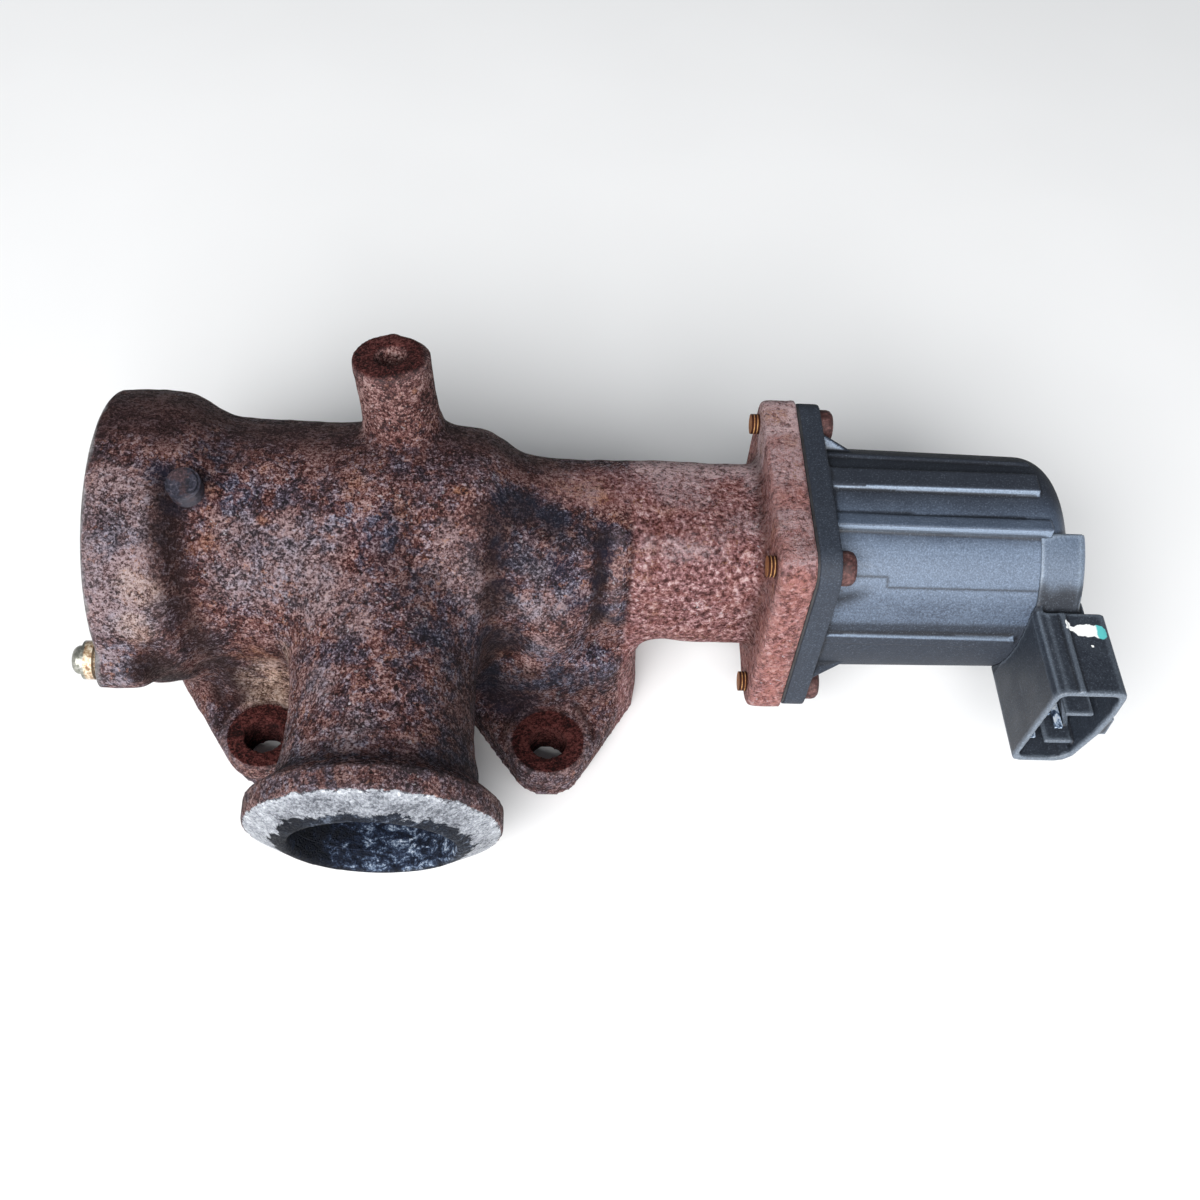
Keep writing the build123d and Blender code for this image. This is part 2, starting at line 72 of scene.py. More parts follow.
# ----------------------------------------------------------- node building --
class Nodes:
    """Short helper for building a material's node tree."""

    def __init__(self, name):
        self.mat = bpy.data.materials.new(name)
        self.mat.use_nodes = True
        self.t = self.mat.node_tree
        self.t.nodes.clear()
        self.out = self.t.nodes.new("ShaderNodeOutputMaterial")
        self.b = self.t.nodes.new("ShaderNodeBsdfPrincipled")
        self.t.links.new(self.b.outputs[0], self.out.inputs[0])
        tc = self.t.nodes.new("ShaderNodeTexCoord")
        sc = self.t.nodes.new("ShaderNodeVectorMath")
        sc.operation = "SCALE"
        sc.inputs[3].default_value = 1000.0
        self.t.links.new(tc.outputs["Object"], sc.inputs[0])
        self.mm = sc.outputs[0]            # object coordinates in millimetres

    def link(self, a, b):
        if hasattr(a, "is_linked"):
            self.t.links.new(a, b)
        else:
            b.default_value = a

    def noise(self, scale, detail=4.0, rough=0.55, vec=None, dist=0.0, lac=2.0):
        n = self.t.nodes.new("ShaderNodeTexNoise")
        self.link(self.mm if vec is None else vec, n.inputs["Vector"])
        n.inputs["Scale"].default_value = scale
        n.inputs["Detail"].default_value = detail
        n.inputs["Roughness"].default_value = rough
        n.inputs["Lacunarity"].default_value = lac
        n.inputs["Distortion"].default_value = dist
        return n.outputs[0]

    def voronoi(self, scale, feature="F1", rand=1.0, vec=None, out="Distance"):
        n = self.t.nodes.new("ShaderNodeTexVoronoi")
        n.feature = feature
        self.link(self.mm if vec is None else vec, n.inputs["Vector"])
        n.inputs["Scale"].default_value = scale
        n.inputs["Randomness"].default_value = rand
        return n.outputs[out]

    def ramp(self, fac, stops, interp="LINEAR"):
        n = self.t.nodes.new("ShaderNodeValToRGB")
        n.color_ramp.interpolation = interp
        e = n.color_ramp.elements
        while len(e) > 1:
            e.remove(e[-1])
        for k, (p, c) in enumerate(stops):
            s = e[0] if k == 0 else e.new(p)
            s.position = p
            s.color = (*c, 1.0) if len(c) == 3 else c
        self.link(fac, n.inputs[0])
        return n.outputs[0]

    def range(self, v, a, b, c=0.0, d=1.0, smooth=True):
        n = self.t.nodes.new("ShaderNodeMapRange")
        n.interpolation_type = "SMOOTHSTEP" if smooth else "LINEAR"
        self.link(v, n.inputs["Value"])
        for key, val in (("From Min", a), ("From Max", b), ("To Min", c), ("To Max", d)):
            n.inputs[key].default_value = val
        return n.outputs[0]

    def math(self, op, a, b=0.0, c=None, clamp=False):
        n = self.t.nodes.new("ShaderNodeMath")
        n.operation = op
        n.use_clamp = clamp
        self.link(a, n.inputs[0])
        self.link(b, n.inputs[1])
        if c is not None:
            self.link(c, n.inputs[2])
        return n.outputs[0]

    def mix(self, f, a, b, mode="MIX"):
        n = self.t.nodes.new("ShaderNodeMix")
        n.data_type = "RGBA"
        n.blend_type = mode
        self.link(f, n.inputs["Factor"])
        for s, v in ((n.inputs[6], a), (n.inputs[7], b)):
            if hasattr(v, "is_linked"):
                self.t.links.new(v, s)
            else:
                s.default_value = (*v, 1.0)
        return n.outputs[2]

    def attr(self, name, chan=None):
        n = self.t.nodes.new("ShaderNodeAttribute")
        n.attribute_name = name
        if chan is None:
            return n.outputs["Fac"]
        if chan == 3:
            return n.outputs["Alpha"]
        s = self.t.nodes.new("ShaderNodeSeparateColor")
        self.t.links.new(n.outputs["Color"], s.inputs[0])
        return s.outputs[chan]

    def xyz(self, vec=None):
        s = self.t.nodes.new("ShaderNodeSeparateXYZ")
        self.link(self.mm if vec is None else vec, s.inputs[0])
        return s.outputs[0], s.outputs[1], s.outputs[2]

    def stretch(self, sx, sy, sz):
        n = self.t.nodes.new("ShaderNodeMapping")
        self.t.links.new(self.mm, n.inputs[0])
        n.inputs["Scale"].default_value = (sx, sy, sz)
        return n.outputs[0]

    def bump(self, height, dist_mm, strength=1.0, normal=None):
        n = self.t.nodes.new("ShaderNodeBump")
        n.inputs["Strength"].default_value = strength
        n.inputs["Distance"].default_value = dist_mm / 1000
        self.link(height, n.inputs["Height"])
        if normal is not None:
            self.t.links.new(normal, n.inputs["Normal"])
        return n.outputs[0]

    def done(self, color=None, rough=None, normal=None, metal=None, spec=None, metallic=None):
        if color is not None:
            self.link(color, self.b.inputs["Base Color"]) if hasattr(color, "is_linked") else setattr(
                self.b.inputs["Base Color"], "default_value", (*color, 1.0))
        if rough is not None:
            self.link(rough, self.b.inputs["Roughness"])
        if metal is not None:
            self.link(metal, self.b.inputs["Metallic"])
        if spec is not None:
            self.b.inputs["Specular IOR Level"].default_value = spec
        if normal is not None:
            self.t.links.new(normal, self.b.inputs["Normal"])
        return self.mat


# ------------------------------------------------------------ mesh helpers --
def remesh_copy(node, name, voxel):
    """A new object: the node's shape as one even skin of small faces."""
    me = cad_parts[node].data.copy()
    ob = bpy.data.objects.new(name, me)
    SC.collection.objects.link(ob)
    bm = bmesh.new()
    bm.from_mesh(me)
    bmesh.ops.remove_doubles(bm, verts=bm.verts, dist=2e-6)
    bm.to_mesh(me)
    bm.free()
    mod = ob.modifiers.new("skin", "REMESH")
    mod.mode = "VOXEL"
    mod.voxel_size = voxel
    mod.use_smooth_shade = True
    dg = bpy.context.evaluated_depsgraph_get()
    new = bpy.data.meshes.new_from_object(ob.evaluated_get(dg), preserve_all_data_layers=False, depsgraph=dg)
    ob.modifiers.clear()
    old = ob.data
    ob.data = new
    new.name = name
    bpy.data.meshes.remove(old)
    new.materials.clear()
    for p in ("use_smooth",):
        new.polygons.foreach_set(p, np.ones(len(new.polygons), dtype=bool))
    return ob


def verts_of(ob):
    v = np.empty(len(ob.data.vertices) * 3, dtype=np.float32)
    ob.data.vertices.foreach_get("co", v)
    return v.reshape(-1, 3).astype(np.float64) * 1000


def put_verts(ob, v):
    ob.data.vertices.foreach_set("co", (v / 1000).astype(np.float32).ravel())
    ob.data.update()


def edges_of(ob):
    e = np.empty(len(ob.data.edges) * 2, dtype=np.int32)
    ob.data.edges.foreach_get("vertices", e)
    return e.reshape(-1, 2)


def averager(e, n):
    i = np.concatenate([e[:, 0], e[:, 1]])
    j = np.concatenate([e[:, 1], e[:, 0]])
    deg = np.maximum(np.bincount(i, minlength=n), 1).astype(float)

    def avg(x):
        if x.ndim == 1:
            return np.bincount(i, x[j], minlength=n) / deg
        return np.stack([np.bincount(i, x[j, k], minlength=n) / deg for k in range(x.shape[1])], 1)
    return avg


def normals_of(ob):
    n = np.empty(len(ob.data.vertices) * 3, dtype=np.float32)
    ob.data.vertex_normals.foreach_get("vector", n)
    return n.reshape(-1, 3).astype(np.float64)


def sstep(x, a, b):
    t = np.clip((x - a) / (b - a), 0, 1)
    return t * t * (3 - 2 * t)


def hash3(ix, iy, iz, seed):
    h = (ix * 374761393 + iy * 668265263 + iz * 2147483647 + seed * 1274126177) & 0xFFFFFFFF
    h = ((h ^ (h >> 13)) * 1274126177) & 0xFFFFFFFF
    h = (h ^ (h >> 16)) & 0xFFFFFFFF
    return h / 4294967295.0


def vnoise(p, size, seed=0):
    """Smooth value noise, -1 to 1, of the given size in millimetres."""
    q = p / size + 1000.0
    i = np.floor(q).astype(np.int64)
    f = q - i
    f = f * f * (3 - 2 * f)
    out = 0
    for dx in (0, 1):
        for dy in (0, 1):
            for dz in (0, 1):
                w = ((f[:, 0] if dx else 1 - f[:, 0]) * (f[:, 1] if dy else 1 - f[:, 1])
                     * (f[:, 2] if dz else 1 - f[:, 2]))
                out = out + w * hash3(i[:, 0] + dx, i[:, 1] + dy, i[:, 2] + dz, seed)
    return out * 2 - 1


def add_attr(ob, name, rgba):
    a = ob.data.attributes.new(name, "FLOAT_COLOR", "POINT")
    a.data.foreach_set("color", rgba.astype(np.float32).ravel())


def add_float(ob, name, f):
    a = ob.data.attributes.new(name, "FLOAT", "POINT")
    a.data.foreach_set("value", f.astype(np.float32).ravel())


def cavity(v, nrm, avg, rounds):
    """How far each point lies under (+) or over (-) the average of what is round it, mm."""
    s = v
    for _ in range(rounds):
        s = avg(s)
    return ((s - v) * nrm).sum(1)


# ----------------------------------------------------------------- casting --
PN = np.array([0, -math.cos(math.radians(11.6)), -math.sin(math.radians(11.6))])
BN = np.array([-0.104, math.sin(math.radians(7.3)), math.cos(math.radians(7.3))])
BN /= np.linalg.norm(BN)
BTOP = np.array([-3.6, 14.6, 48.9 + AX])


def g(x, s):
    return np.exp(-0.5 * (x / s) ** 2)


def casting_zones(v):
    """Distances and masks used for shaping and for the finish. v in mm."""
    a = v - [0, 0, AX]
    rad = np.hypot(a[:, 1], a[:, 2])
    pl = (a - [-4.1, 0, 0]) @ PN
    pr = np.linalg.norm((a - [-4.1, 0, 0]) - pl[:, None] * PN, axis=1)
    bl = (v - BTOP) @ BN
    br = np.linalg.norm((v - BTOP) - bl[:, None] * BN, axis=1)
    lug = np.minimum.reduce([np.hypot(v[:, 0] - sx * 35.5, v[:, 1] - sy * 35.85)
                             for sx in (-1, 1) for sy in (-1, 1)])
    return a, rad, pl, pr, bl, br, lug


cast = remesh_copy("valve_body", "casting", 0.00075)
v = verts_of(cast)
e = edges_of(cast)
avg = averager(e, len(v))
a, rad, pl, pr, bl, br, lug = casting_zones(v)
nrm0 = normals_of(cast)
k = (0.00075 / 0.00075) ** 2

inside = (rad < 28.6) & (a[:, 0] < -37) | (rad < 23.2) & (a[:, 0] < 28) & (a[:, 0] > -38.5) | (rad < 16.2) & (a[:, 0] > 27)
inside |= (pr < 19.1) & (pl > 5)
keep = np.ones(len(v))                       # 1 = free to smooth, 0 = machined, stays put
keep *= sstep(v[:, 0], -70.1 + 0.6, -70.1 + 2.6) * 0.97 + 0.03
keep *= 1 - sstep(v[:, 0], 94.2 - 1.6, 94.2 - 0.5)
keep *= sstep(v[:, 2], 0.5, 2.2)
keep *= 1 - sstep(pl, 60.0, 62.0) * (pr > 18) * (pr < 31) * 0.6
keep *= 1 - (sstep(pl, 66.5, 68.0) * (pr > 18) * (pr < 31)) * 0.985
keep *= 1 - sstep(bl, -2.0, -0.6) * (br < 12)
keep *= 1 - (1 - sstep(br, 4.2, 5.4)) * (bl > -21)
keep *= 1 - (1 - sstep(lug, 9.3, 10.2)) * (v[:, 2] < 20.0)
keep *= np.where(inside, 0.0, 1.0)
for sy in (-1, 1):
    for sz in (-1, 1):
        keep *= 1 - (1 - sstep(np.hypot(a[:, 1] - sy * 23, a[:, 2] - sz * 23), 3.2, 4.6)) * (a[:, 0] > 80)
heavy = (1 - sstep(a[:, 0], 58, 72)) * (1 - sstep(pl, 52, 60)) * (1 - sstep(bl, -26, -20) * (br < 14))
heavy *= sstep(a[:, 0], -62, -52)
heavy *= 0.25 + 0.75 * sstep(v[:, 2], 9.5, 14.0)
P = v.copy()
for it in range(max(4, int(16 * k))):
    P += 0.5 * keep[:, None] * (avg(P) - P)
for it in range(int(110 * k)):
    P += 0.5 * (keep * heavy)[:, None] * (avg(P) - P)
v = P
put_verts(cast, v)

# cast relief, in the casting's own places
a, rad, pl, pr, bl, br, lug = casting_zones(v)
nrm = normals_of(cast)
ang = np.degrees(np.arctan2(a[:, 2], a[:, 1])) % 360          # from +Y towards +Z
front = sstep(ang, 112, 134) * (1 - sstep(ang, 215, 235))
d = np.zeros(len(v))
out = keep * (~inside)
upper = v[:, 2] > 12
d += -1.7 * g(a[:, 0] - 20.8, 1.9) * front * (pl < 40) * upper
d += 1.4 * g(a[:, 0] - 33, 6.0) * front * upper
d += -1.5 * g(a[:, 0] - 45.9, 1.2) * sstep(ang, 112, 124) * (1 - sstep(ang, 188, 200)) * upper
d += 1.0 * g(a[:, 0] - 49.9, 1.9) * sstep(ang, 116, 121) * (1 - sstep(ang, 184, 192)) * upper
d += -0.7 * g(a[:, 0] - 53.1, 0.7) * sstep(ang, 108, 118) * (1 - sstep(ang, 196, 204)) * upper
d += -1.5 * g(a[:, 0] + 48.6, 2.3) * sstep(ang, 100, 122) * (1 - sstep(ang, 225, 240)) * upper
d += -1.3 * g(np.linalg.norm((v - [-57.0, -35.0, 40.0]) / [3.2, 4.0, 5.5], axis=1), 0.8)
lugr = (v[:, 2] > 9.6) & (v[:, 2] < 14)
d += 0.55 * g(lug - 10.1, 0.55) * lugr
d += -0.75 * g(lug - 11.7, 0.45) * lugr
d += 0.35 * vnoise(v, 19.0, 3) + 0.24 * vnoise(v, 9.0, 4)
d += 0.17 * vnoise(v, 4.2, 5) + 0.15 * vnoise(v, 2.3, 6)
d *= np.where(v[:, 0] > 80, 0.45, 1.0) * out
d = np.minimum(d, 1.8)
v = v + nrm * d[:, None]
P = v
for it in range(max(1, int(2 * k))):
    P = P + 0.5 * out[:, None] * (avg(P) - P)
# chipped and worn rim of the branch port and of the top boss
a, rad, pl, pr, bl, br, lug = casting_zones(P)
rim = sstep(pr, 26.9, 28.6) * sstep(pl, 71.9, 73.4)
chip = np.clip(vnoise(P, 3.1, 11) * 0.9 + vnoise(P, 1.5, 12) * 0.5 - 0.15, 0, 1)
P = P - PN * (rim * chip * 0.6)[:, None]
brim = sstep(br, 7.2, 8.8) * sstep(bl, -1.6, -0.2)
chipb = np.clip(vnoise(P, 3.4, 21) * 1.2 + 0.35 * (P[:, 0] - BTOP[0]) / 9, 0, 1)
P = P - BN * (brim * chipb * 1.3)[:, None]
P[:, 2] = np.maximum(P[:, 2], 0.0)
P[:, 0] = np.clip(P[:, 0], -70.1, 94.2)
put_verts(cast, P)
v = P
nrm = normals_of(cast)
a, rad, pl, pr, bl, br, lug = casting_zones(v)
cav = cavity(v, nrm, avg, max(3, int(14 * k)))

# finish masks: r neck and flange tone, g bare machined metal, b deep red spot faces, a soot
ang = np.degrees(np.arctan2(a[:, 2], a[:, 1])) % 360
neck = sstep(a[:, 0] + 0.8 * vnoise(v, 5, 31) + 0.3 * vnoise(v, 1.5, 32), 52.6, 53.8)
# above the shoulder the pale tone runs further back along the body
neck = np.maximum(neck, sstep(a[:, 0] + 5.0 * vnoise(v, 9, 30), 26, 42) * (1 - sstep(ang, 93, 108)) * sstep(ang, 55, 75) * 0.85)
cone = pl - (73.8 + (28.5 - pr) * 0.477)
edge_n = vnoise(v, 2.0, 34) * 0.6 + vnoise(v, 0.9, 35) * 0.3
seatm = sstep(cone, -1.3, -0.8) * (pr > 18.0) * (1 - sstep(pr + edge_n * 0.8, 28.65, 28.95))
bellface = (1 - sstep(a[:, 0] + 0.5 * vnoise(v, 3, 36), -70.0, -69.0)) * (rad > 27)
spot = (1 - sstep(lug + 0.5 * vnoise(v, 2, 37), 8.5, 9.4)) * (v[:, 2] < 13.5) * (v[:, 2] > 9.8)
spot = np.maximum(spot, (1 - sstep(lug, 4.6, 5.6)) * (v[:, 2] < 13))
spot = np.maximum(spot, sstep(bl, -0.8, -0.1) * (br < 9.5))
soot = np.maximum(((rad < 28.2) & (a[:, 0] < -37)).astype(float), ((rad < 23.0) & (a[:, 0] < 28.5)).astype(float))
lipn = 0.9 * vnoise(v, 3.2, 38) + 0.5 * vnoise(v, 1.3, 39)
soot = np.maximum(soot, (pr < 19.0) & (pl > 5))
add_attr(cast, "zone", np.stack([neck, bellface * 0.75, spot, soot], 1))
add_float(cast, "port_r", pr)
add_float(cast, "port_l", pl)
add_float(cast, "lug_r", np.where((v[:, 2] < 13.5) & (v[:, 2] > 9.6), lug, 30.0))


def blobs(items, warp=0.0, seed=50):
    """Soft irregular patches: (x, y, z, radius, strength) in mm."""
    w = v + warp * np.stack([vnoise(v, 5.0, seed), vnoise(v, 5.0, seed + 1), vnoise(v, 5.0, seed + 2)], 1)
    m = np.zeros(len(v))
    for x, y, z, r, k in items:
        m = np.maximum(m, k * (1 - sstep(np.linalg.norm(w - [x, y, z], axis=1) / r, 0.45, 1.15)))
    return m


blue = 0.42 * sstep(vnoise(v, 15, 41) + 0.6 * vnoise(v, 6, 42), 0.05, 0.8)
blue = np.maximum(blue, blobs([
    (25.6, -5.7, 67.6, 7, 1), (32.6, -4.5, 66, 7, 1), (27.5, -14.7, 62.2, 7, 1), (36.2, -8.5, 64.8, 6, .9), (28.6, -22, 50.8, 6, .6),
    (37.7, -24.6, 30.5, 8, .9), (45.8, -26, 27.6, 6, .9), (32.4, -26.4, 40.9, 7, .6), (-12.7, -16.1, 68.8, 7, .8), (-5.2, -17.8, 67.7, 8, 1),
    (-3.4, -22.4, 64.5, 7, .8), (-18.7, -17.2, 68.1, 5, .6), (-40, -9.5, 72, 7, .9), (-45.4, -1.1, 74.5, 6, .9), (-62, -24, 69.5, 6, .8),
    (-60, -33.5, 55, 6, .8), (-65, -36.9, 41.1, 7, 1), (14, -30, 52, 7, .7), (50.8, -20.7, 45.4, 3.5, 1), (19, -26, 22, 8, 1)], 3.0))
navy = blobs([(18.8, -26, 18.5, 7, 1), (23.1, -26, 14.2, 6, 1), (20.9, -13.3, 69, 4, .7), (21.2, -20.4, 63.2, 4, .7), (45.9, -12.6, 62.3, 2.4, .8),
              (46.5, -18.9, 55.2, 2.4, .8), (50.8, -20.7, 43.5, 3.2, 1), (30, -9, 65.5, 4, .6), (24, -24, 38, 6, .6)], 2.5, 60)
orange = blobs([(13.6, -8.6, 72.3, 1.5, 1), (37.3, 0, 66, 6, .55), (44.5, 0.5, 65.6, 5, .6), (-37, -27.7, 33.5, 6, .75), (-31, -26, 21.7, 5, .8),
                (-43.1, -12.6, 74.0, 1.8, .8), (-41.6, -19.5, 66.3, 2.4, .6), (-30.7, -14.6, 69.7, 2.0, .7), (-0.5, -11.6, 71.2, 4, .5),
                (-11, -7.2, 72.7, 4, .5), (53.4, -16, 59.7, 1.3, .7), (53.4, -9, 63.5, 1.6, .7), (85.6, -25, 62.5, 2.4, .8), (85.2, -22, 60, 2, .7),
                (60, -20, 44, 4, .35), (5, -33, 60, 4, .35)], 2.0, 63)
# pale patches: partly pale powder, partly painted highlight on the lit lower left of the bell and the left flank of
# the pipe
powder_and_painted_highlight = blobs([(-62, -27, 67.3, 8, .5), (-60.4, -32.1, 59.6, 9, .75), (-20.4, -24.4, 60.7, 7, .75), (-21.6, -28, 56, 6, .7), (11.2, -21.6, 64.2, 7, .6),
              (14.7, -25.8, 58.6, 6, .6), (34.4, -22.5, 51.6, 6, .5), (-65, -36.9, 41.1, 5, .7), (37, -27, 55, 5, .4), (28.3, -17, 60, 5, .35),
              (-24, -20, 66, 9, .45), (-10, -30, 61, 7, .4)], 3.0, 66)
beige = blobs([(-36.8, -26, 14.4, 6, 1), (-32, -26, 15.0, 6, 1), (-27, -26.5, 14.5, 5, 1), (-40, -26, 18, 4, .6), (-56.9, -30.9, 61.8, 6, .5), (-59, -33.5, 52, 5, .5)], 1.6, 69)
# painted shade: valleys beside the bell, grooves on the body and round the lugs, and the port's neck groove are marked
# for darkening
valley_painted_shade = g(a[:, 0] + 49.1 + 0.16 * (v[:, 2] - 56.7), 2.7) * sstep(ang, 96, 118) * (1 - sstep(ang, 232, 245)) * upper
valley_painted_shade = np.maximum(valley_painted_shade, blobs([(-47.5, -25.8, 13.1, 4, .9), (-46.5, -29, 28, 5, .9), (-59.5, -38.2, 39.2, 3.5, 1), (-57.2, -35.6, 45.6, 3.5, .7)], 1.0, 71))
valley_painted_shade = np.maximum(valley_painted_shade, g(a[:, 0] - 21.0, 1.8) * front * (pl < 45) * (v[:, 2] > 30) * 0.8)
valley_painted_shade = np.maximum(valley_painted_shade, g(a[:, 0] - 46.0, 1.2) * sstep(ang, 112, 124) * (1 - sstep(ang, 188, 200)) * 0.9)
valley_painted_shade = np.maximum(valley_painted_shade, blobs([(-57.5, -35, 39, 6.5, 1), (-55, -34, 30, 6, .9), (-52, -30, 20, 5, .6)], 1.0, 72))
valley_painted_shade = np.maximum(valley_painted_shade, 0.75 * g(lug - 11.7, 0.5) * lugr)
band = sstep(pl, 59.2, 60.0) * (1 - sstep(pl, 66.5, 67.5)) * (pr > 20) * (pr < 26)
valley_painted_shade = np.maximum(valley_painted_shade, 0.45 * band)
blue = np.maximum(blue, 0.9 * band)
ring = g(lug - 10.1, 0.7) * lugr + g(pl - 59.3, 0.35) * (pr < 26) * (pr > 20) * 0.5
powder_and_painted_highlight = np.maximum(powder_and_painted_highlight, 0.35 * ring)
# painted highlight: the upward faces of the neck are made paler
powder_and_painted_highlight = np.maximum(powder_and_painted_highlight, 0.75 * neck * sstep(nrm[:, 2], 0.55, 0.85) * sstep(vnoise(v, 7, 76) + 0.5 * vnoise(v, 2.5, 77), -0.5, 0.4))
powder_and_painted_highlight = np.maximum(powder_and_painted_highlight, blobs([(-62, -16, 75, 10, .7), (-63, -30, 66, 12, .9), (-63, -34, 55, 9, 1), (-60, -22, 71, 9, .8), (-36, -19, 67, 8, .6), (-25, -22, 64, 10, .8),
                               (-32, -26, 58, 8, .8), (-17, -27, 58, 7, .8), (-40, -27, 60, 6, .6)], 3.0, 75))
beige = np.maximum(beige, blobs([(-34, -26, 16, 7, 1), (-29, -26.5, 20, 6, .9), (-33, -27.5, 27, 6, .6), (-39, -28, 22, 6, .7), (-27, -33, 40, 4, .5)], 2.0, 112))
beige *= 0.60 + 0.40 * sstep(vnoise(v, 3.0, 80) + 0.6 * vnoise(v, 1.3, 81), -0.3, 0.5)
# painted shade: the top and upper rear of the casting, where little light falls, are marked for darkening
turn = ang + 9 * vnoise(v, 9.0, 82) + 5 * vnoise(v, 4.0, 83)
painted_top_shade = (1 - sstep(turn, 66, 104)) * (rad < 45)
painted_top_shade = np.maximum(painted_top_shade, (1 - sstep(turn, 90, 108)) * (1 - sstep(a[:, 0], -54, -46))) + (ang > 225) * 0.7
# the painted shade is weaker on the rear side away from the port
painted_top_shade *= 0.40 + 0.60 * sstep(ang + 6 * vnoise(v, 12, 115), 42, 66) * (ang < 225)
painted_top_shade *= 1 - 0.75 * sstep(a[:, 0] + 3 * vnoise(v, 7, 121), 26, 50) * sstep(ang + 4 * vnoise(v, 5, 122), 44, 58)
painted_top_shade = np.clip(painted_top_shade * (1 - 0.95 * neck) * (1 - sstep(bl, -24, -14) * (br < 12)), 0, 1)
# painted shade: the right flank of the pipe, turned away from the lamp
pipe_right_painted_shade = sstep(a[:, 0] + 4.1 + 1.5 * vnoise(v, 4.0, 84), 8.0, 17.0) * sstep(pl, 24, 36) * (pr < 26) * (1 - sstep(pl, 62, 66))
shaded = blobs([(20.9, -13.3, 69, 6, .8), (21.2, -20.4, 63.2, 6, .9), (22, -25, 54.3, 6, .9), (24, -24.6, 38.1, 8, .9), (27, -10, 67, 7, .6), (29, -17, 60, 6, .5),
                (46, -12, 62, 4, .7), (46.5, -19, 55, 4, .8), (47.5, -21, 43, 4, .8), (50.5, -17, 57.5, 3, .5), (16, -30, 40, 9, .8), (20, -27, 25, 9, .9),
                (-50, -14, 76, 6, .9), (-46, -11, 75, 6, .8), (-42, -2, 75, 6, .5), (-52, -22, 71, 4, .8), (31, -27, 16, 8, .6)], 2.0, 85)
shaded = np.maximum(shaded, blobs([(27, -7, 67.5, 8, 1), (33, -10, 64.5, 7, .9), (38, -12, 62, 6, .8), (23.6, -14, 65, 5, .9), (49.5, -14, 59, 3, .6), (35, -11, 63.5, 6, 1), (41, -9, 64.5, 5, .7),
                                   (-57, -34, 34, 7, .8), (-53, -31, 24, 6, .8)], 2.0, 87))
shaded = np.maximum(shaded, 0.9 * pipe_right_painted_shade)
shaded = np.maximum(shaded, 0.50 * sstep(pl, 65, 67) * (pr > 20) * (pl < 73.6) * (0.7 + 0.5 * vnoise(v, 5, 88)))
# purple-blue tint together with painted shade, on the shaded side where the pipe meets the body
purple_tint_and_painted_shade = blobs([(-1.4, -16.7, 68.4, 6, .6), (-0.1, -22.1, 64.3, 7, .8), (4.7, -28.3, 61.3, 7, .95), (7.3, -35.9, 56.5, 7, .95), (10.8, -41.0, 52.1, 7, 1),
                (10.2, -50.7, 50.3, 6, .8), (12.6, -31.2, 54.3, 5, .9), (3.3, -44.0, 56.0, 6, .6), (17.8, -33, 43.5, 6, .9)], 2.5, 92)
shaded = np.maximum(shaded, 0.75 * purple_tint_and_painted_shade)
blue = np.maximum(blue, 0.70 * purple_tint_and_painted_shade)
navy = np.maximum(navy, blobs([(22.1, -6.6, 70.2, 3.6, .9), (22.4, -16.1, 65.3, 3.6, .95), (22.7, -23.4, 56, 3.6, .95), (24, -25, 42, 4, .7), (28, -7.3, 66.1, 5.5, .95),
                               (33.9, -8.7, 64.4, 4.5, .95), (36.5, -16.6, 59.3, 4, .65), (40.4, -21.6, 50.7, 4, .6), (45.7, -7.9, 64, 2.4, .8), (46.3, -16.4, 59.6, 2.8, .95),
                               (47.0, -21.1, 46.5, 2.8, .95), (23, -26, 18.7, 7, 1), (29, -26, 16.5, 6, .8), (18.2, -29.7, 44.8, 4, .8), (-52, -11, 78, 4.5, .9),
                               (-50.5, -18, 75, 3.6, .8), (-46.5, -8, 76.5, 4, .8), (-44, -13, 74, 2.5, .6)], 2.0, 95))
shaded = np.maximum(shaded, blobs([(22, -26, 20, 8, .9), (31, -26, 22, 7, .75), (38, -26, 19, 6, .6), (46, -26, 17, 6, .5), (51, -20, 52, 2.5, .5), (20.5, -28, 33, 5, .8)], 2.0, 114))
blue = np.maximum(blue, blobs([(38, -26, 23.8, 7, 1), (45.3, -26, 26.3, 7, 1), (51.0, -20, 47.5, 3.2, 1), (40, -20, 52, 6, .9), (28, -18, 60, 6, .8), (30, -26, 24, 6, .9)], 2.5, 98))
redp = blobs([(-37.4, -29.5, 46, 6, .7), (-32.8, -28.8, 37.3, 7, .9), (-25.5, -35.6, 43, 4, .8), (-21.6, -44.7, 48.1, 3.5, .8), (-32.4, -26, 17, 7, 1), (-43, -9.9, 74, 2.4, 1),
              (-22.5, -34.9, 50.1, 4, .7), (-41.7, -17.8, 67.7, 4, .7), (13.4, -8.1, 72.4, 2, 1), (30.1, 1.9, 66.6, 7, .9), (38.5, -0.4, 65.9, 7, 1), (45.7, -1.2, 65.5, 6, 1),
              (50.4, -6, 63.9, 3.2, 1), (20.5, -28.1, 38.7, 3.5, .8), (26.5, -22, 31, 5, .8), (-45, -27, 57, 6, .6), (-13, -27, 60.5, 3, .7), (-9, -36, 58.5, 3, .6),
              (2, -58, 55, 2.5, .8), (-17, -30, 58, 2, .8), (-12, -50, 54.5, 2, .9), (-5, -41, 58, 2, .8), (-15, -41, 55, 2.2, .8), (-30, -13, 71, 5, .5)], 2.2, 101)
redp = np.maximum(redp, 0.8 * sstep(vnoise(v, 11, 104) + 0.6 * vnoise(v, 4.5, 105), 0.25, 0.85))
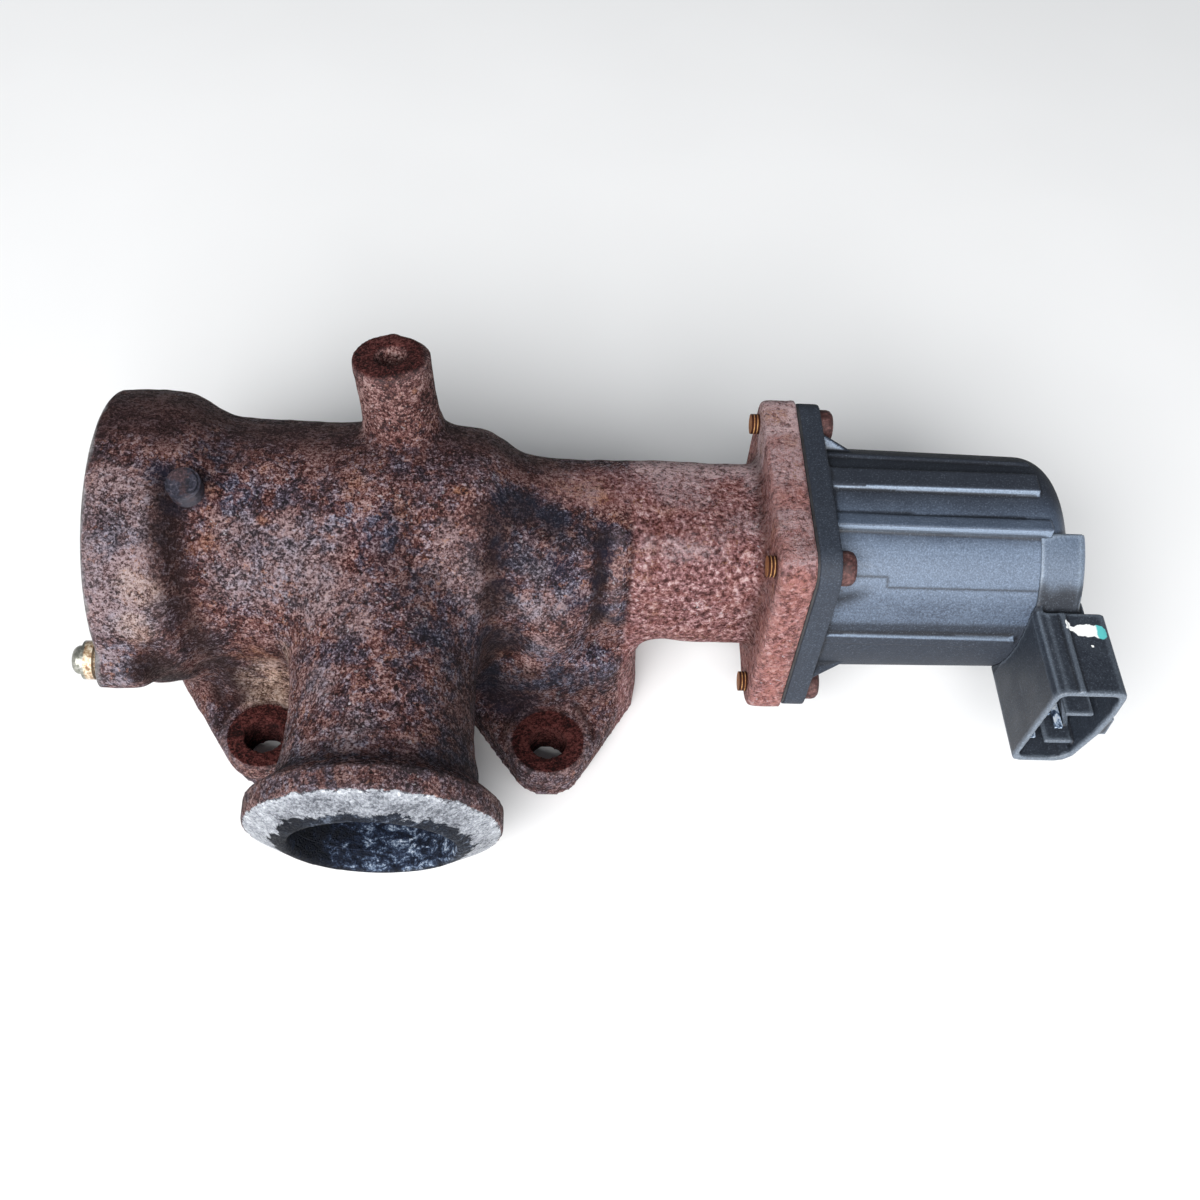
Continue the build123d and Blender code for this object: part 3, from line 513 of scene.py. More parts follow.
orange = np.maximum(orange, blobs([(-32.4, -26, 16.5, 4.5, .9), (-31, -27, 33, 4, .6), (13.4, -8.1, 72.4, 1.7, 1), (45.7, -1.2, 65.5, 4, .7), (50.4, -6, 63.9, 2, .8),
                                   (-22.5, -42, 45, 2, .8), (88.5, 20.2, 73, 4, .8), (91.3, 12, 73, 3, .6), (86, -15, 70, 3, .5), (24, -24, 33, 3, .6), (84, -25, 60, 3, .8), (83.5, -26, 54, 2.2, .7), (83.5, -27, 49, 2, .6), (85, 22, 70, 4, .8), (84, 15, 69, 4, .6), (84.5, -24, 24, 3, .6),
                                   (57, -18, 57, 2, .5), (57, -14, 62, 3, .5), (62, -3, 65, 4, .4)], 1.5, 106))
powder_and_painted_highlight = np.maximum(powder_and_painted_highlight, blobs([(11.1, -18.3, 67.3, 5, .6), (14.7, -23.8, 61.6, 5, .75), (16.6, -27.9, 53.9, 4.5, .6), (30.7, -18.8, 56.3, 4.5, .8), (31, -23.8, 49.2, 5.5, .9), (33, -26, 40, 5, .5), (26, -24, 50, 3.5, .5),
                               (-20.4, -22.3, 63.5, 6, .6), (-19.1, -28.8, 57.2, 5, .75), (-16, -18.9, 66.8, 5, .5), (-16.4, -47.6, 52.5, 6, .6), (-8.4, -61.4, 54, 6, .5),
                               (-10.5, -35.6, 59, 6, .5), (-61.5, -32.1, 59.5, 8, 1), (-55.2, -33.1, 57.4, 6, .8), (-66.5, -38.7, 37.6, 4.5, .9)], 2.0, 109))
patch = blobs([(-42.4, -11.2, 74, 2.7, 1)], 0.6, 117)
navy, shaded, valley_painted_shade, blue = navy * (1 - patch), shaded * (1 - patch), valley_painted_shade * (1 - 0.85 * patch), blue * (1 - patch)
redp, orange = np.maximum(redp, patch), np.maximum(orange, 0.55 * patch)
shaded = np.maximum(shaded, blobs([(30, -25, 26, 6, .95), (37, -25, 25, 6, .8), (43, -25.5, 22, 5, .7), (26, -26, 19, 6, .8)], 2.0, 118))
# painted highlight: the neck's top ledge, where the lamp falls, is made pale
neck_ledge_painted_highlight = neck * sstep(ang, 40, 47) * (1 - sstep(ang + 4 * vnoise(v, 6, 119), 62, 76)) * sstep(a[:, 0], 50, 56)
powder_and_painted_highlight = np.maximum(powder_and_painted_highlight, neck_ledge_painted_highlight)
# painted highlight: the top of the flange is made paler
powder_and_painted_highlight = np.maximum(powder_and_painted_highlight, (a[:, 0] > 82) * blobs([(85, 6, 70, 10, .35), (85, -9, 68, 9, .3), (85, 20, 66, 9, .3), (86, -24, 58, 6, .3)], 3.0, 120))
boss = (br < 13) * sstep(bl, -21, -15)
flanges = sstep(a[:, 0], 83, 85)
wear_and_painted_shade = sstep(pr, 25.6, 28.2) * (pl > 70) - 0.9 * (1 - sstep(pr + lipn * 0.9, 20.8, 22.4)) * (pl > 70)
hi = (a - [-4.1, 0, 0]) @ np.array([0, -PN[2] * -1.0, PN[1] * -1.0])
# painted shade: the upper middle of the seat is marked darker
wear_and_painted_shade -= 1.15 * (pl > 70) * sstep(hi + 2.0 * vnoise(v, 5, 110), 4, 17) * (1 - sstep(np.abs(v[:, 0] + 3), 16, 24)) * (pr < 27.6)
# painted shade: high on the bore's right side, so that its left side, away from the lamp, is painted darker
bore_painted_light_side = sstep(v[:, 0] + 3 * vnoise(v, 5, 86), -19, -10)
add_attr(cast, "shade", np.stack([painted_top_shade, wear_and_painted_shade, bore_painted_light_side, shaded], 1))
add_attr(cast, "place", np.stack([boss.astype(float), flanges, redp, purple_tint_and_painted_shade], 1))
cavm = np.clip(cav / 0.5, -1, 1)
add_attr(cast, "tone", np.stack([blue, np.clip(beige, 0, 1), np.clip(cavm, 0, 1), np.clip(-cavm, 0, 1)], 1))
add_attr(cast, "stains_and_painted_light", np.stack([orange, powder_and_painted_highlight, np.clip(valley_painted_shade, 0, 1), navy], 1))


def casting_material():
    n = Nodes("rusted_casting")
    neck, metal, spot, soot = n.attr("zone", 0), n.attr("zone", 1), n.attr("zone", 2), n.attr("zone", 3)
    blue, sed, dip, crest = n.attr("tone", 0), n.attr("tone", 1), n.attr("tone", 2), n.attr("tone", 3)
    orange, powder_and_painted_highlight, valley_painted_shade, navy = n.attr("stains_and_painted_light", 0), n.attr("stains_and_painted_light", 1), n.attr("stains_and_painted_light", 2), n.attr("stains_and_painted_light", 3)
    painted_shade = n.attr("shade", 0)
    port_r, port_l, lug_r = n.attr("port_r"), n.attr("port_l"), n.attr("lug_r")
    jag = n.math("MULTIPLY", n.math("SUBTRACT", n.noise(0.75, 4, 0.65, dist=0.5), 0.5), 2.6)
    jag2 = n.math("MULTIPLY", n.math("SUBTRACT", n.noise(0.20, 5, 0.66, dist=0.8), 0.5), 9.0)
    seat_on = n.math("MULTIPLY", n.range(n.math("ADD", port_r, n.math("MULTIPLY", jag, 0.5)), 28.55, 28.75, 1.0, 0.0), n.range(port_l, 72.7, 73.0))
    seat_on = n.math("MULTIPLY", seat_on, n.range(port_r, 30.0, 30.2, 1.0, 0.0))
    metal = n.math("MAXIMUM", metal, seat_on)
    px, py, pz = n.xyz()
    lip = n.math("ADD", port_r, n.math("ADD", n.math("MULTIPLY", jag, 0.5), n.math("MULTIPLY", jag2, n.range(pz, 50.0, 60.0, 1.0, 0.45))))
    lip = n.math("ADD", lip, n.range(pz, 48.0, 58.0, 0.0, 1.35))
    lip = n.math("MULTIPLY", n.range(lip, 22.0, 22.4, 1.0, 0.0), n.range(port_l, 72.7, 73.0))
    lip = n.math("MULTIPLY", lip, n.range(port_r, 25.5, 25.8, 1.0, 0.0))
    spot = n.math("MAXIMUM", spot, n.range(n.math("ADD", lug_r, n.math("MULTIPLY", jag, 0.3)), 8.9, 9.2, 1.0, 0.0))
    mid = n.noise(0.13, 6, 0.60, dist=0.5)
    clump = n.noise(0.36, 5, 0.62, dist=0.8)
    fine = n.noise(1.35, 4, 0.78)
    cell = n.voronoi(2.0, out="Color")
    sep = n.t.nodes.new("ShaderNodeSeparateColor")
    n.t.links.new(cell, sep.inputs[0])
    cr, cg, cb = sep.outputs
    cells = n.voronoi(2.0)
    pits = n.voronoi(0.50, rand=1.0)
    nods = n.voronoi(0.78, rand=1.0)
    f1 = n.range(fine, 0.30, 0.70, smooth=False)
    c1 = n.range(clump, 0.30, 0.70, smooth=False)
    m1 = n.range(mid, 0.30, 0.70, smooth=False)
    pit = n.math("MULTIPLY", n.range(pits, 0.10, 0.34, 1.0, 0.0), n.range(n.noise(0.30, 3, 0.6), 0.44, 0.60))
    nod = n.math("MULTIPLY", n.range(nods, 0.06, 0.26, 1.0, 0.0), n.range(n.noise(0.22, 3, 0.6), 0.46, 0.60))
    # grain of the rust: dark scale, brown, and pale powder
    micro = n.range(n.noise(2.7, 3, 0.80), 0.30, 0.70, smooth=False)
    sp = n.math("ADD", n.math("MULTIPLY", cr, 0.28), n.math("MULTIPLY", f1, 0.30))
    sp = n.math("ADD", sp, n.math("MULTIPLY", micro, 0.22))
    sp = n.math("ADD", sp, n.math("MULTIPLY", c1, 0.20))
    sp = n.math("ADD", sp, n.math("MULTIPLY", n.math("SUBTRACT", m1, 0.5), 0.20))
    sp = n.math("SUBTRACT", sp, n.math("MULTIPLY", pit, 0.20))
    sp = n.math("ADD", sp, n.math("MULTIPLY", nod, 0.07))
    sp = n.math("ADD", n.math("MULTIPLY", n.math("SUBTRACT", sp, 0.5), 2.25), 0.545)
    # the neck and flange have coarser, softer blotches
    blotch = n.math("ADD", n.math("MULTIPLY", n.range(n.noise(0.85, 4, 0.62, dist=0.5), 0.30, 0.70, smooth=False), 0.52), n.math("MULTIPLY", f1, 0.20))
    blotch = n.math("ADD", blotch, n.math("ADD", n.math("MULTIPLY", c1, 0.18), n.math("MULTIPLY", cr, 0.10)))
    blotch = n.math("ADD", n.math("MULTIPLY", n.math("SUBTRACT", blotch, 0.5), 1.95), 0.545)
    brown = n.ramp(sp, [(0.05, (0.008, 0.0032, 0.0036)), (0.30, (0.032, 0.0145, 0.0165)), (0.52, (0.085, 0.0385, 0.0435)),
                        (0.76, (0.194, 0.111, 0.124)), (1.00, (0.47, 0.375, 0.410))])
    redc = n.ramp(sp, [(0.05, (0.011, 0.0026, 0.0024)), (0.30, (0.044, 0.0120, 0.0105)), (0.52, (0.116, 0.035, 0.029)),
                       (0.76, (0.235, 0.100, 0.085)), (1.00, (0.46, 0.29, 0.26))])
    bluec = n.ramp(sp, [(0.05, (0.005, 0.0045, 0.0085)), (0.30, (0.018, 0.0155, 0.026)), (0.52, (0.046, 0.042, 0.071)),
                        (0.76, (0.125, 0.120, 0.178)), (1.00, (0.38, 0.38, 0.48))])
    pink = n.ramp(blotch, [(0.05, (0.040, 0.0105, 0.0095)), (0.30, (0.100, 0.037, 0.036)), (0.52, (0.245, 0.106, 0.108)),
                       (0.76, (0.42, 0.225, 0.230)), (1.00, (0.70, 0.52, 0.52))])
    # grains lean to red or to blue in small groups, more to blue in the blue patches
    lean = n.math("ADD", n.math("MULTIPLY", cg, 0.10), n.math("MULTIPLY", n.range(n.noise(0.42, 3, 0.55, dist=0.6), 0.3, 0.7, smooth=False), 0.46))
    lean = n.math("ADD", lean, n.math("MULTIPLY", n.range(n.noise(0.13, 3, 0.6, dist=0.4), 0.3, 0.7, smooth=False), 0.42))
    lean = n.math("ADD", lean, n.math("MULTIPLY", nod, 0.08))
    lean = n.math("ADD", lean, n.math("MULTIPLY", n.attr("place", 2), 0.22))
    bossm, flm = n.attr("place", 0), n.attr("place", 1)
    lean = n.math("ADD", lean, n.math("MULTIPLY", bossm, 0.30))
    redf = n.range(lean, 0.44, 0.60)
    bluef = n.math("ADD", n.math("MULTIPLY", blue, 0.84), n.range(lean, 0.44, 0.28, 0.0, 0.38))
    bluef = n.math("SUBTRACT", bluef, n.math("MULTIPLY", redf, 0.45), clamp=True)
    c = n.mix(n.math("MULTIPLY", redf, 0.80), brown, redc)
    c = n.mix(bluef, c, bluec)
    c = n.mix(neck, c, n.mix(n.math("MULTIPLY", redf, 0.60), pink, n.ramp(blotch, [(0.10, (0.050, 0.011, 0.009)), (0.5, (0.225, 0.072, 0.062)), (1.00, (0.56, 0.33, 0.30))])))
    fleck = n.math("MULTIPLY", n.math("MULTIPLY", n.range(n.noise(0.80, 4, 0.7, dist=0.8), 0.53, 0.64), neck), n.math("SUBTRACT", 0.46, n.math("MULTIPLY", flm, 0.16)))
    c = n.mix(fleck, c, (0.066, 0.020, 0.019))
    c = n.mix(n.math("MULTIPLY", flm, n.range(n.math("ADD", f1, c1), 0.7, 1.4, 0.08, 0.64)), c, (0.50, 0.200, 0.165))
    # pale powder over whole patches, and painted highlight where the lit sides are painted paler
    c = n.mix(n.math("MULTIPLY", powder_and_painted_highlight, n.range(sp, 0.30, 0.80, 0.06, 0.70, smooth=False)), c, (0.40, 0.335, 0.365))
    # painted highlight: where the neck is marked paler, most on its top ledge, it is painted bright pink
    c = n.mix(n.math("MULTIPLY", n.math("MULTIPLY", neck, n.range(powder_and_painted_highlight, 0.55, 1.0)), n.range(blotch, 0.20, 0.75, 0.10, 0.80)), c, (0.66, 0.475, 0.485))
    # orange-red fresh rust
    o = n.range(n.noise(0.80, 3, 0.55, dist=0.6), 0.585, 0.66)
    o = n.math("MULTIPLY", o, n.range(n.noise(0.10, 2, 0.5), 0.42, 0.60))
    o = n.math("MAXIMUM", n.math("MULTIPLY", o, 0.60), n.math("MULTIPLY", orange, n.range(n.math("ADD", f1, c1), 0.85, 1.20, 0.05, 0.85)))
    c = n.mix(o, c, n.ramp(sp, [(0.2, (0.060, 0.013, 0.006)), (0.5, (0.205, 0.068, 0.030)), (0.8, (0.40, 0.19, 0.100))]))
    # white flecks
    w = n.range(n.noise(1.05, 2, 0.5), 0.665, 0.70)
    w = n.math("MULTIPLY", w, n.range(n.noise(0.07, 2, 0.5), 0.48, 0.62))
    c = n.mix(n.math("MULTIPLY", w, 0.75), c, (0.50, 0.47, 0.50))
    c = n.mix(n.math("MULTIPLY", sed, n.range(n.math("ADD", f1, c1), 0.50, 1.15, 0.30, 0.95)), c, n.ramp(sp, [(0.1, (0.13, 0.070, 0.045)), (0.5, (0.49, 0.325, 0.245)), (0.9, (0.82, 0.65, 0.55))]))
    # dark in the hollows, navy scale in the deepest
    c = n.mix(n.math("MULTIPLY", dip, 0.62), c, (0.010, 0.004, 0.005))
    c = n.mix(n.math("MULTIPLY", crest, 0.16), c, (0.30, 0.23, 0.24))
    # painted shade: the marked valleys are painted dark red-brown
    c = n.mix(n.math("MULTIPLY", valley_painted_shade, n.range(sp, 0.2, 0.8, 0.97, 0.76)), c, (0.020, 0.0075, 0.0072))
    c = n.mix(n.math("MULTIPLY", navy, n.range(sp, 0.2, 0.85, 0.96, 0.62)), c, (0.012, 0.013, 0.030))
    # painted shade: darker patches on the shaded side of the pipe, the hollow beside it, the bell junction and the
    # port rim
    c = n.mix(n.math("MULTIPLY", n.attr("shade", 3), n.range(sp, 0.3, 0.85, 0.88, 0.66)), c, n.mix(bluef, (0.012, 0.0055, 0.0065), (0.010, 0.010, 0.018)))
    # painted shade: the upper rear side, turned away from the lamp, is painted darker and redder
    c = n.mix(n.math("MULTIPLY", painted_shade, 0.86), c, n.ramp(sp, [(0.1, (0.018, 0.0058, 0.0056)), (0.5, (0.043, 0.0165, 0.0160)), (0.9, (0.088, 0.044, 0.045))]))
    # spot faces and boss top: deep red brown
    red = n.ramp(sp, [(0.2, (0.012, 0.0020, 0.0018)), (0.50, (0.046, 0.0066, 0.0058)), (0.70, (0.080, 0.0140, 0.0125)), (0.90, (0.150, 0.046, 0.040))])
    c = n.mix(spot, c, red)
    # bare seat metal, brighter towards its worn outer edge, with painted shade darkening its upper middle
    grit = n.math("ADD", n.math("MULTIPLY", f1, 0.50), n.math("MULTIPLY", cr, 0.22))
    grit = n.math("ADD", grit, n.math("MULTIPLY", n.range(n.noise(0.20, 4, 0.6), 0.3, 0.7, smooth=False), 0.28))
    grit = n.math("ADD", grit, n.math("MULTIPLY", n.attr("shade", 1), 0.085))
    grit = n.math("ADD", n.math("MULTIPLY", n.math("SUBTRACT", grit, 0.5), 0.82), 0.485)
    sil = n.ramp(grit, [(0.24, (0.085, 0.091, 0.108)), (0.36, (0.185, 0.196, 0.222)), (0.50, (0.325, 0.342, 0.378)), (0.66, (0.46, 0.48, 0.52)), (0.84, (0.82, 0.84, 0.88))])
    c = n.mix(metal, c, sil)
    # the bell's sealing face is duller: turned, then lightly rusted
    turned = n.math("ADD", n.math("MULTIPLY", n.noise(0.9, 4, 0.6), 0.5), n.math("MULTIPLY", n.noise(0.16, 4, 0.6, dist=0.5), 0.5))
    c = n.mix(n.math("MULTIPLY", n.attr("zone", 1), 1.2, clamp=True), c, n.ramp(turned, [(0.36, (0.085, 0.062, 0.058)), (0.50, (0.19, 0.172, 0.168)), (0.62, (0.33, 0.32, 0.32))]))
    # soot inside, with pale bluish streaks that are painted highlights; the bore's left side is painted darker as
    # shade
    soot_and_painted_streaks = n.noise(0.42, 6, 0.72, vec=n.stretch(0.6, 1.0, 1.0), dist=0.8)
    bk = n.math("ADD", n.math("MULTIPLY", soot_and_painted_streaks, 0.66), n.math("MULTIPLY", fine, 0.34))
    bk = n.math("SUBTRACT", bk, n.math("MULTIPLY", n.math("SUBTRACT", 1.0, n.attr("shade", 2)), 0.12))
    black = n.ramp(bk, [(0.36, (0.0015, 0.0025, 0.006)), (0.47, (0.006, 0.010, 0.023)), (0.525, (0.030, 0.045, 0.085)), (0.565, (0.17, 0.23, 0.33)), (0.62, (0.62, 0.68, 0.76))])
    c = n.mix(lip, c, n.ramp(bk, [(0.40, (0.003, 0.004, 0.008)), (0.54, (0.010, 0.014, 0.024)), (0.61, (0.10, 0.12, 0.16))]))
    # dark flecks of scale along the outer edge of the seat
    fl = n.math("MULTIPLY", n.range(n.math("ADD", port_r, n.math("MULTIPLY", jag, 1.2)), 28.0, 28.5), seat_on)
    c = n.mix(n.math("MULTIPLY", fl, n.range(n.noise(0.9, 2, 0.5), 0.50, 0.56, 0.0, 0.85)), c, (0.020, 0.018, 0.030))
    c = n.mix(soot, c, black)
    r = n.range(sp, 0.25, 0.75, 0.95, 0.60, smooth=False)
    r = n.math("SUBTRACT", r, n.math("MULTIPLY", metal, 0.28))
    r = n.math("SUBTRACT", r, n.math("MULTIPLY", soot, 0.30))
    mt = n.math("MULTIPLY", n.math("MULTIPLY", metal, 0.30), n.math("SUBTRACT", 1.0, lip))
    r = n.math("ADD", r, n.math("MULTIPLY", lip, 0.30))
    h = n.math("ADD", n.math("MULTIPLY", f1, 0.34), n.math("MULTIPLY", cr, 0.20))
    h = n.math("SUBTRACT", h, n.math("MULTIPLY", pit, 0.55))
    h = n.math("ADD", h, n.math("MULTIPLY", nod, 0.30))
    h = n.math("ADD", h, n.math("MULTIPLY", c1, 0.52))
    h = n.math("ADD", h, n.math("MULTIPLY", micro, 0.26))
    h = n.math("MULTIPLY", h, n.math("SUBTRACT", 1.0, n.math("MULTIPLY", metal, 0.55)))
    bn = n.bump(h, 0.80, 1.0)
    bn = n.bump(cells, 0.12, 0.5, bn)
    return n.done(c, r, bn, mt, 0.20)


cast.data.materials.append(casting_material())
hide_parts("valve_body")
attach(cast, "housing")


# ---------------------------------------------------------- plastic pieces --
def plastic_material(name, lo, hi, streak=(0.05, 0.9, 0.9), scratch=0.10, painted_edge_highlight=0.10):
    n = Nodes(name)
    sp = n.noise(1.9, 4, 0.68)
    dust = n.noise(0.09, 5, 0.6, dist=0.5)
    scr = n.noise(1.3, 3, 0.5, vec=n.stretch(*streak))
    cavp = n.attr("tone", 2)
    crest = n.attr("tone", 3)
    painted_shade = n.attr("tone", 0)
    grit = n.attr("tone", 1)
    c = n.mix(n.range(dust, 0.20, 0.80), lo, hi)
    # painted highlight: faces towards the lamp are painted a lighter blue, the rib walls lightest
    c = n.mix(n.math("MULTIPLY", n.attr("front_painted_highlight"), n.range(sp, 0.30, 0.70, 0.55, 0.95)), c, (0.165, 0.218, 0.305))
    c = n.mix(n.range(n.attr("front_painted_highlight"), 0.88, 1.0, 0.0, 0.62), c, (0.30, 0.37, 0.47))
    c = n.mix(n.math("MULTIPLY", n.range(sp, 0.40, 0.72), n.math("ADD", 0.22, n.math("MULTIPLY", grit, 0.35))), c, tuple(min(1, x * 2.2) for x in hi))
    c = n.mix(n.math("MULTIPLY", n.range(sp, 0.42, 0.30), n.math("MULTIPLY", grit, 0.5)), c, tuple(x * 0.35 for x in lo))
    c = n.mix(n.math("MULTIPLY", n.range(scr, 0.64, 0.74), scratch), c, (0.36, 0.41, 0.48))
    spk = n.range(n.voronoi(0.55), 0.02, 0.070, 1.0, 0.0)
    c = n.mix(n.math("MULTIPLY", spk, n.range(n.noise(0.2, 2, 0.5), 0.52, 0.64, 0.0, 0.5)), c, (0.55, 0.58, 0.62))
    # painted highlight: convex edges are painted lighter
    c = n.mix(n.math("MULTIPLY", crest, painted_edge_highlight), c, (0.34, 0.41, 0.50))
    # painted shade: tops, undersides, the plate and the socket's inside are painted navy-black
    c = n.mix(n.math("MULTIPLY", painted_shade, 0.84), c, (0.0065, 0.0085, 0.0145))
    c = n.mix(n.math("MULTIPLY", cavp, 0.80), c, (0.004, 0.005, 0.008))
    sand = n.noise(2.6, 3, 0.75)
    c = n.mix(n.range(sand, 0.36, 0.64, 0.42, 0.0), c, (0.008, 0.010, 0.016))
    c = n.mix(n.range(sand, 0.56, 0.70, 0.0, 0.22), c, (0.26, 0.31, 0.38))
    r = n.range(n.math("ADD", n.math("MULTIPLY", dust, 0.5), n.math("MULTIPLY", sp, 0.5)), 0.3, 0.7, 0.33, 0.52)
    r = n.math("ADD", r, n.math("MULTIPLY", painted_shade, 0.34))
    h = n.math("MULTIPLY", n.math("ADD", n.math("MULTIPLY", sp, 0.7), n.math("MULTIPLY", n.noise(3.4, 2, 0.5), 0.5)), n.math("ADD", 0.7, grit))
    bn = n.bump(h, 0.085, 0.8)
    return n, c, r, bn


def plastic_piece(node, name, voxel, rounds):
    ob = remesh_copy(node, name, voxel)
    v = verts_of(ob)
    e = edges_of(ob)
    avg = averager(e, len(v))
    P = v.copy()
    keep = np.ones(len(v))
    if node == "motor_housing":
        keep *= sstep(v[:, 0], 95.2, 96.0)
    for _ in range(rounds):
        P += 0.5 * keep[:, None] * (avg(P) - P)
        P += -0.51 * keep[:, None] * (avg(P) - P) if _ % 2 else 0
    put_verts(ob, P)
    nrm = normals_of(ob)
    cav = cavity(P, nrm, avg, 10)
    cm = np.clip(cav / (voxel * 1000 * 0.30), -1, 1)
    cm = np.sign(cm) * np.clip(np.abs(cm) - 0.25, 0, 1) / 0.75
    painted_shade, grit, front_painted_highlight = cm * 0, cm * 0, cm * 0
    if node == "motor_housing":
        ax = P - [0, 0, AX]
        an = np.degrees(np.arctan2(ax[:, 2], ax[:, 1])) % 360
        rr = np.hypot(ax[:, 1], ax[:, 2])
        # smooth upper half, rougher mould texture under the parting line at 145 degrees
        grit = sstep(an, 144.2, 145.2) * (an < 300) * 0.9
        # painted shade: the top, the rear and the band below 165 degrees of the barrel are marked dark
        painted_shade = (1 - sstep(an + 4 * vnoise(P, 9.0, 90), 90, 114)) * 1.0 + (an > 300) * 1.0
        painted_shade = np.maximum(painted_shade, 0.95 * sstep(an, 163, 167) * (an < 301))
        line = g((an - 145) * math.pi / 180 * rr, 0.24) * (P[:, 0] > 113.2) * (P[:, 0] < 150.3)
        line = np.maximum(line, g((an - 139.6) * math.pi / 180 * rr, 0.24) * (P[:, 0] > 103.5) * (P[:, 0] < 113.4))
        line = np.maximum(line, g(P[:, 0] - 113.3, 0.24) * (an > 139.4) * (an < 145.2))
        cm = np.where(rr > 24, np.maximum(cm, line), cm)
        # painted shadow: a dark wedge under the screw, beside the parting notch
        painted_shadow_under_screw = sstep(P[:, 0], 112.5, 104.5) * g((an - 146.5 - (112.5 - P[:, 0]) * 0.5) * math.pi / 180 * rr, 1.3)
        painted_shade = np.maximum(painted_shade, painted_shadow_under_screw)
        plate = (P[:, 0] < 100.2)
        radial = (nrm[:, 1] * ax[:, 1] + nrm[:, 2] * ax[:, 2]) / np.maximum(rr, 1)
        walls = (nrm[:, 1] < -0.60) & (radial < 0.88) & (an < 132) & (rr > 24)
        walls |= (nrm[:, 2] > 0.80) & (an > 165) & (an < 200) & (rr > 24) & (P[:, 0] < 147)
        painted_shade = np.where(walls, 0, painted_shade)
        # painted highlight: the front band that faces the lamp, and the rib walls, are marked lighter
        front_painted_highlight = sstep(an + 1.5 * vnoise(P, 6.0, 91), 118, 126) * (1 - sstep(an, 142, 158)) * 0.8
        front_painted_highlight = np.where(walls, 1.0, front_painted_highlight)
        # painted shade: the plate is marked dark
        painted_shade = np.where(plate, 0.90 + 0.10 * sstep(ax[:, 2], 5, 26) * (1 - sstep(an, 95, 130)), painted_shade)
        front_painted_highlight = np.where(plate, 0.0, front_painted_highlight)
        grit = np.where(plate, 0.8, grit)
    else:
        block = (P[:, 2] > AX + 14.2) | ((P[:, 0] < 160) & (P[:, 1] > -25.5))
        # painted highlight: the block's faces towards the lamp are marked lighter
        front_painted_highlight = block * 0.84 * sstep(-nrm[:, 1], -0.1, 0.3)
        # painted shade: the socket's upward faces are marked darker
        painted_shade = sstep(nrm[:, 2], 0.55, 0.9) * 0.50 * ~block
        # painted shade: the foot of the block, over the socket, is marked dark
        block_foot_painted_shade = block * (1 - sstep(P[:, 2] + 1.0 * vnoise(P, 3.0, 93), AX + 14.5, AX + 18.5)) * (P[:, 1] < -16)
        front_painted_highlight *= 1 - block_foot_painted_shade
        painted_shade = np.maximum(painted_shade, 0.85 * block_foot_painted_shade)
        grit = grit + 0.5 * ~block
        # painted shade: the socket's left faces and the inside of its mouth are marked darker
        painted_shade = np.maximum(painted_shade, 0.30 * (nrm[:, 0] < -0.5) * ~block * (0.8 + 0.5 * vnoise(P, 4.0, 94)))
        painted_shade = np.maximum(painted_shade, 0.55 * sstep(P[:, 1], -48.6, -46.0) * (np.abs(nrm[:, 1]) > 0.8) * (P[:, 2] < 56))
    add_attr(ob, "tone", np.stack([painted_shade, grit, np.clip(cm, 0, 1), np.clip(-cm, 0, 1)], 1))
    add_float(ob, "front_painted_highlight", front_painted_highlight.astype(float))
    return ob


barrel = plastic_piece("motor_housing", "motor_casing", 0.00042, 4)
n, c, r, bn = plastic_material("weathered_housing_plastic", (0.048, 0.064, 0.096), (0.072, 0.096, 0.138))
barrel.data.materials.append(n.done(c, r, bn, 0.0, 0.42))
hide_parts("motor_housing")
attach(barrel, "housing")

shroud = plastic_piece("connector_shroud", "plug_socket", 0.00032, 4)
n, c, r, bn = plastic_material("weathered_socket_plastic", (0.016, 0.021, 0.031), (0.036, 0.046, 0.062), (0.6, 0.06, 0.6), 0.16, 0.34)
# a dab of factory paint on the top face
x, y, z = n.xyz()
wob = n.math("MULTIPLY", n.math("SUBTRACT", n.noise(0.7, 2, 0.5), 0.5), 1.3)
xw, yw = n.math("ADD", x, wob), n.math("ADD", y, wob)


def oval(cx, cy, rx, ry):
    ex = n.math("POWER", n.math("DIVIDE", n.math("SUBTRACT", xw, cx), rx), 2.0)
    ey = n.math("POWER", n.math("DIVIDE", n.math("SUBTRACT", yw, cy), ry), 2.0)
    return n.range(n.math("ADD", ex, ey), 0.85, 1.08, 1.0, 0.0)


dab = n.math("MAXIMUM", oval(159.8, -31.5, 3.3, 1.85), oval(162.8, -31.9, 1.9, 2.1))
dab = n.math("MAXIMUM", dab, n.math("MAXIMUM", oval(156.2, -31.0, 1.2, 0.75), oval(155.6, -29.9, 0.55, 1.3)))
dab = n.math("MAXIMUM", dab, oval(160.2, -36.0, 0.40, 0.35))
dab = n.math("MULTIPLY", dab, n.range(z, AX + 12.6, AX + 12.8))
teal = n.range(n.math("ADD", x, n.math("MULTIPLY", wob, 0.8)), 162.0, 162.4)
c = n.mix(dab, c, n.mix(teal, (0.88, 0.89, 0.88), (0.10, 0.50, 0.50)))
shroud.data.materials.append(n.done(c, r, bn, 0.0, 0.5))
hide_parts("connector_shroud")
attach(shroud, "housing")


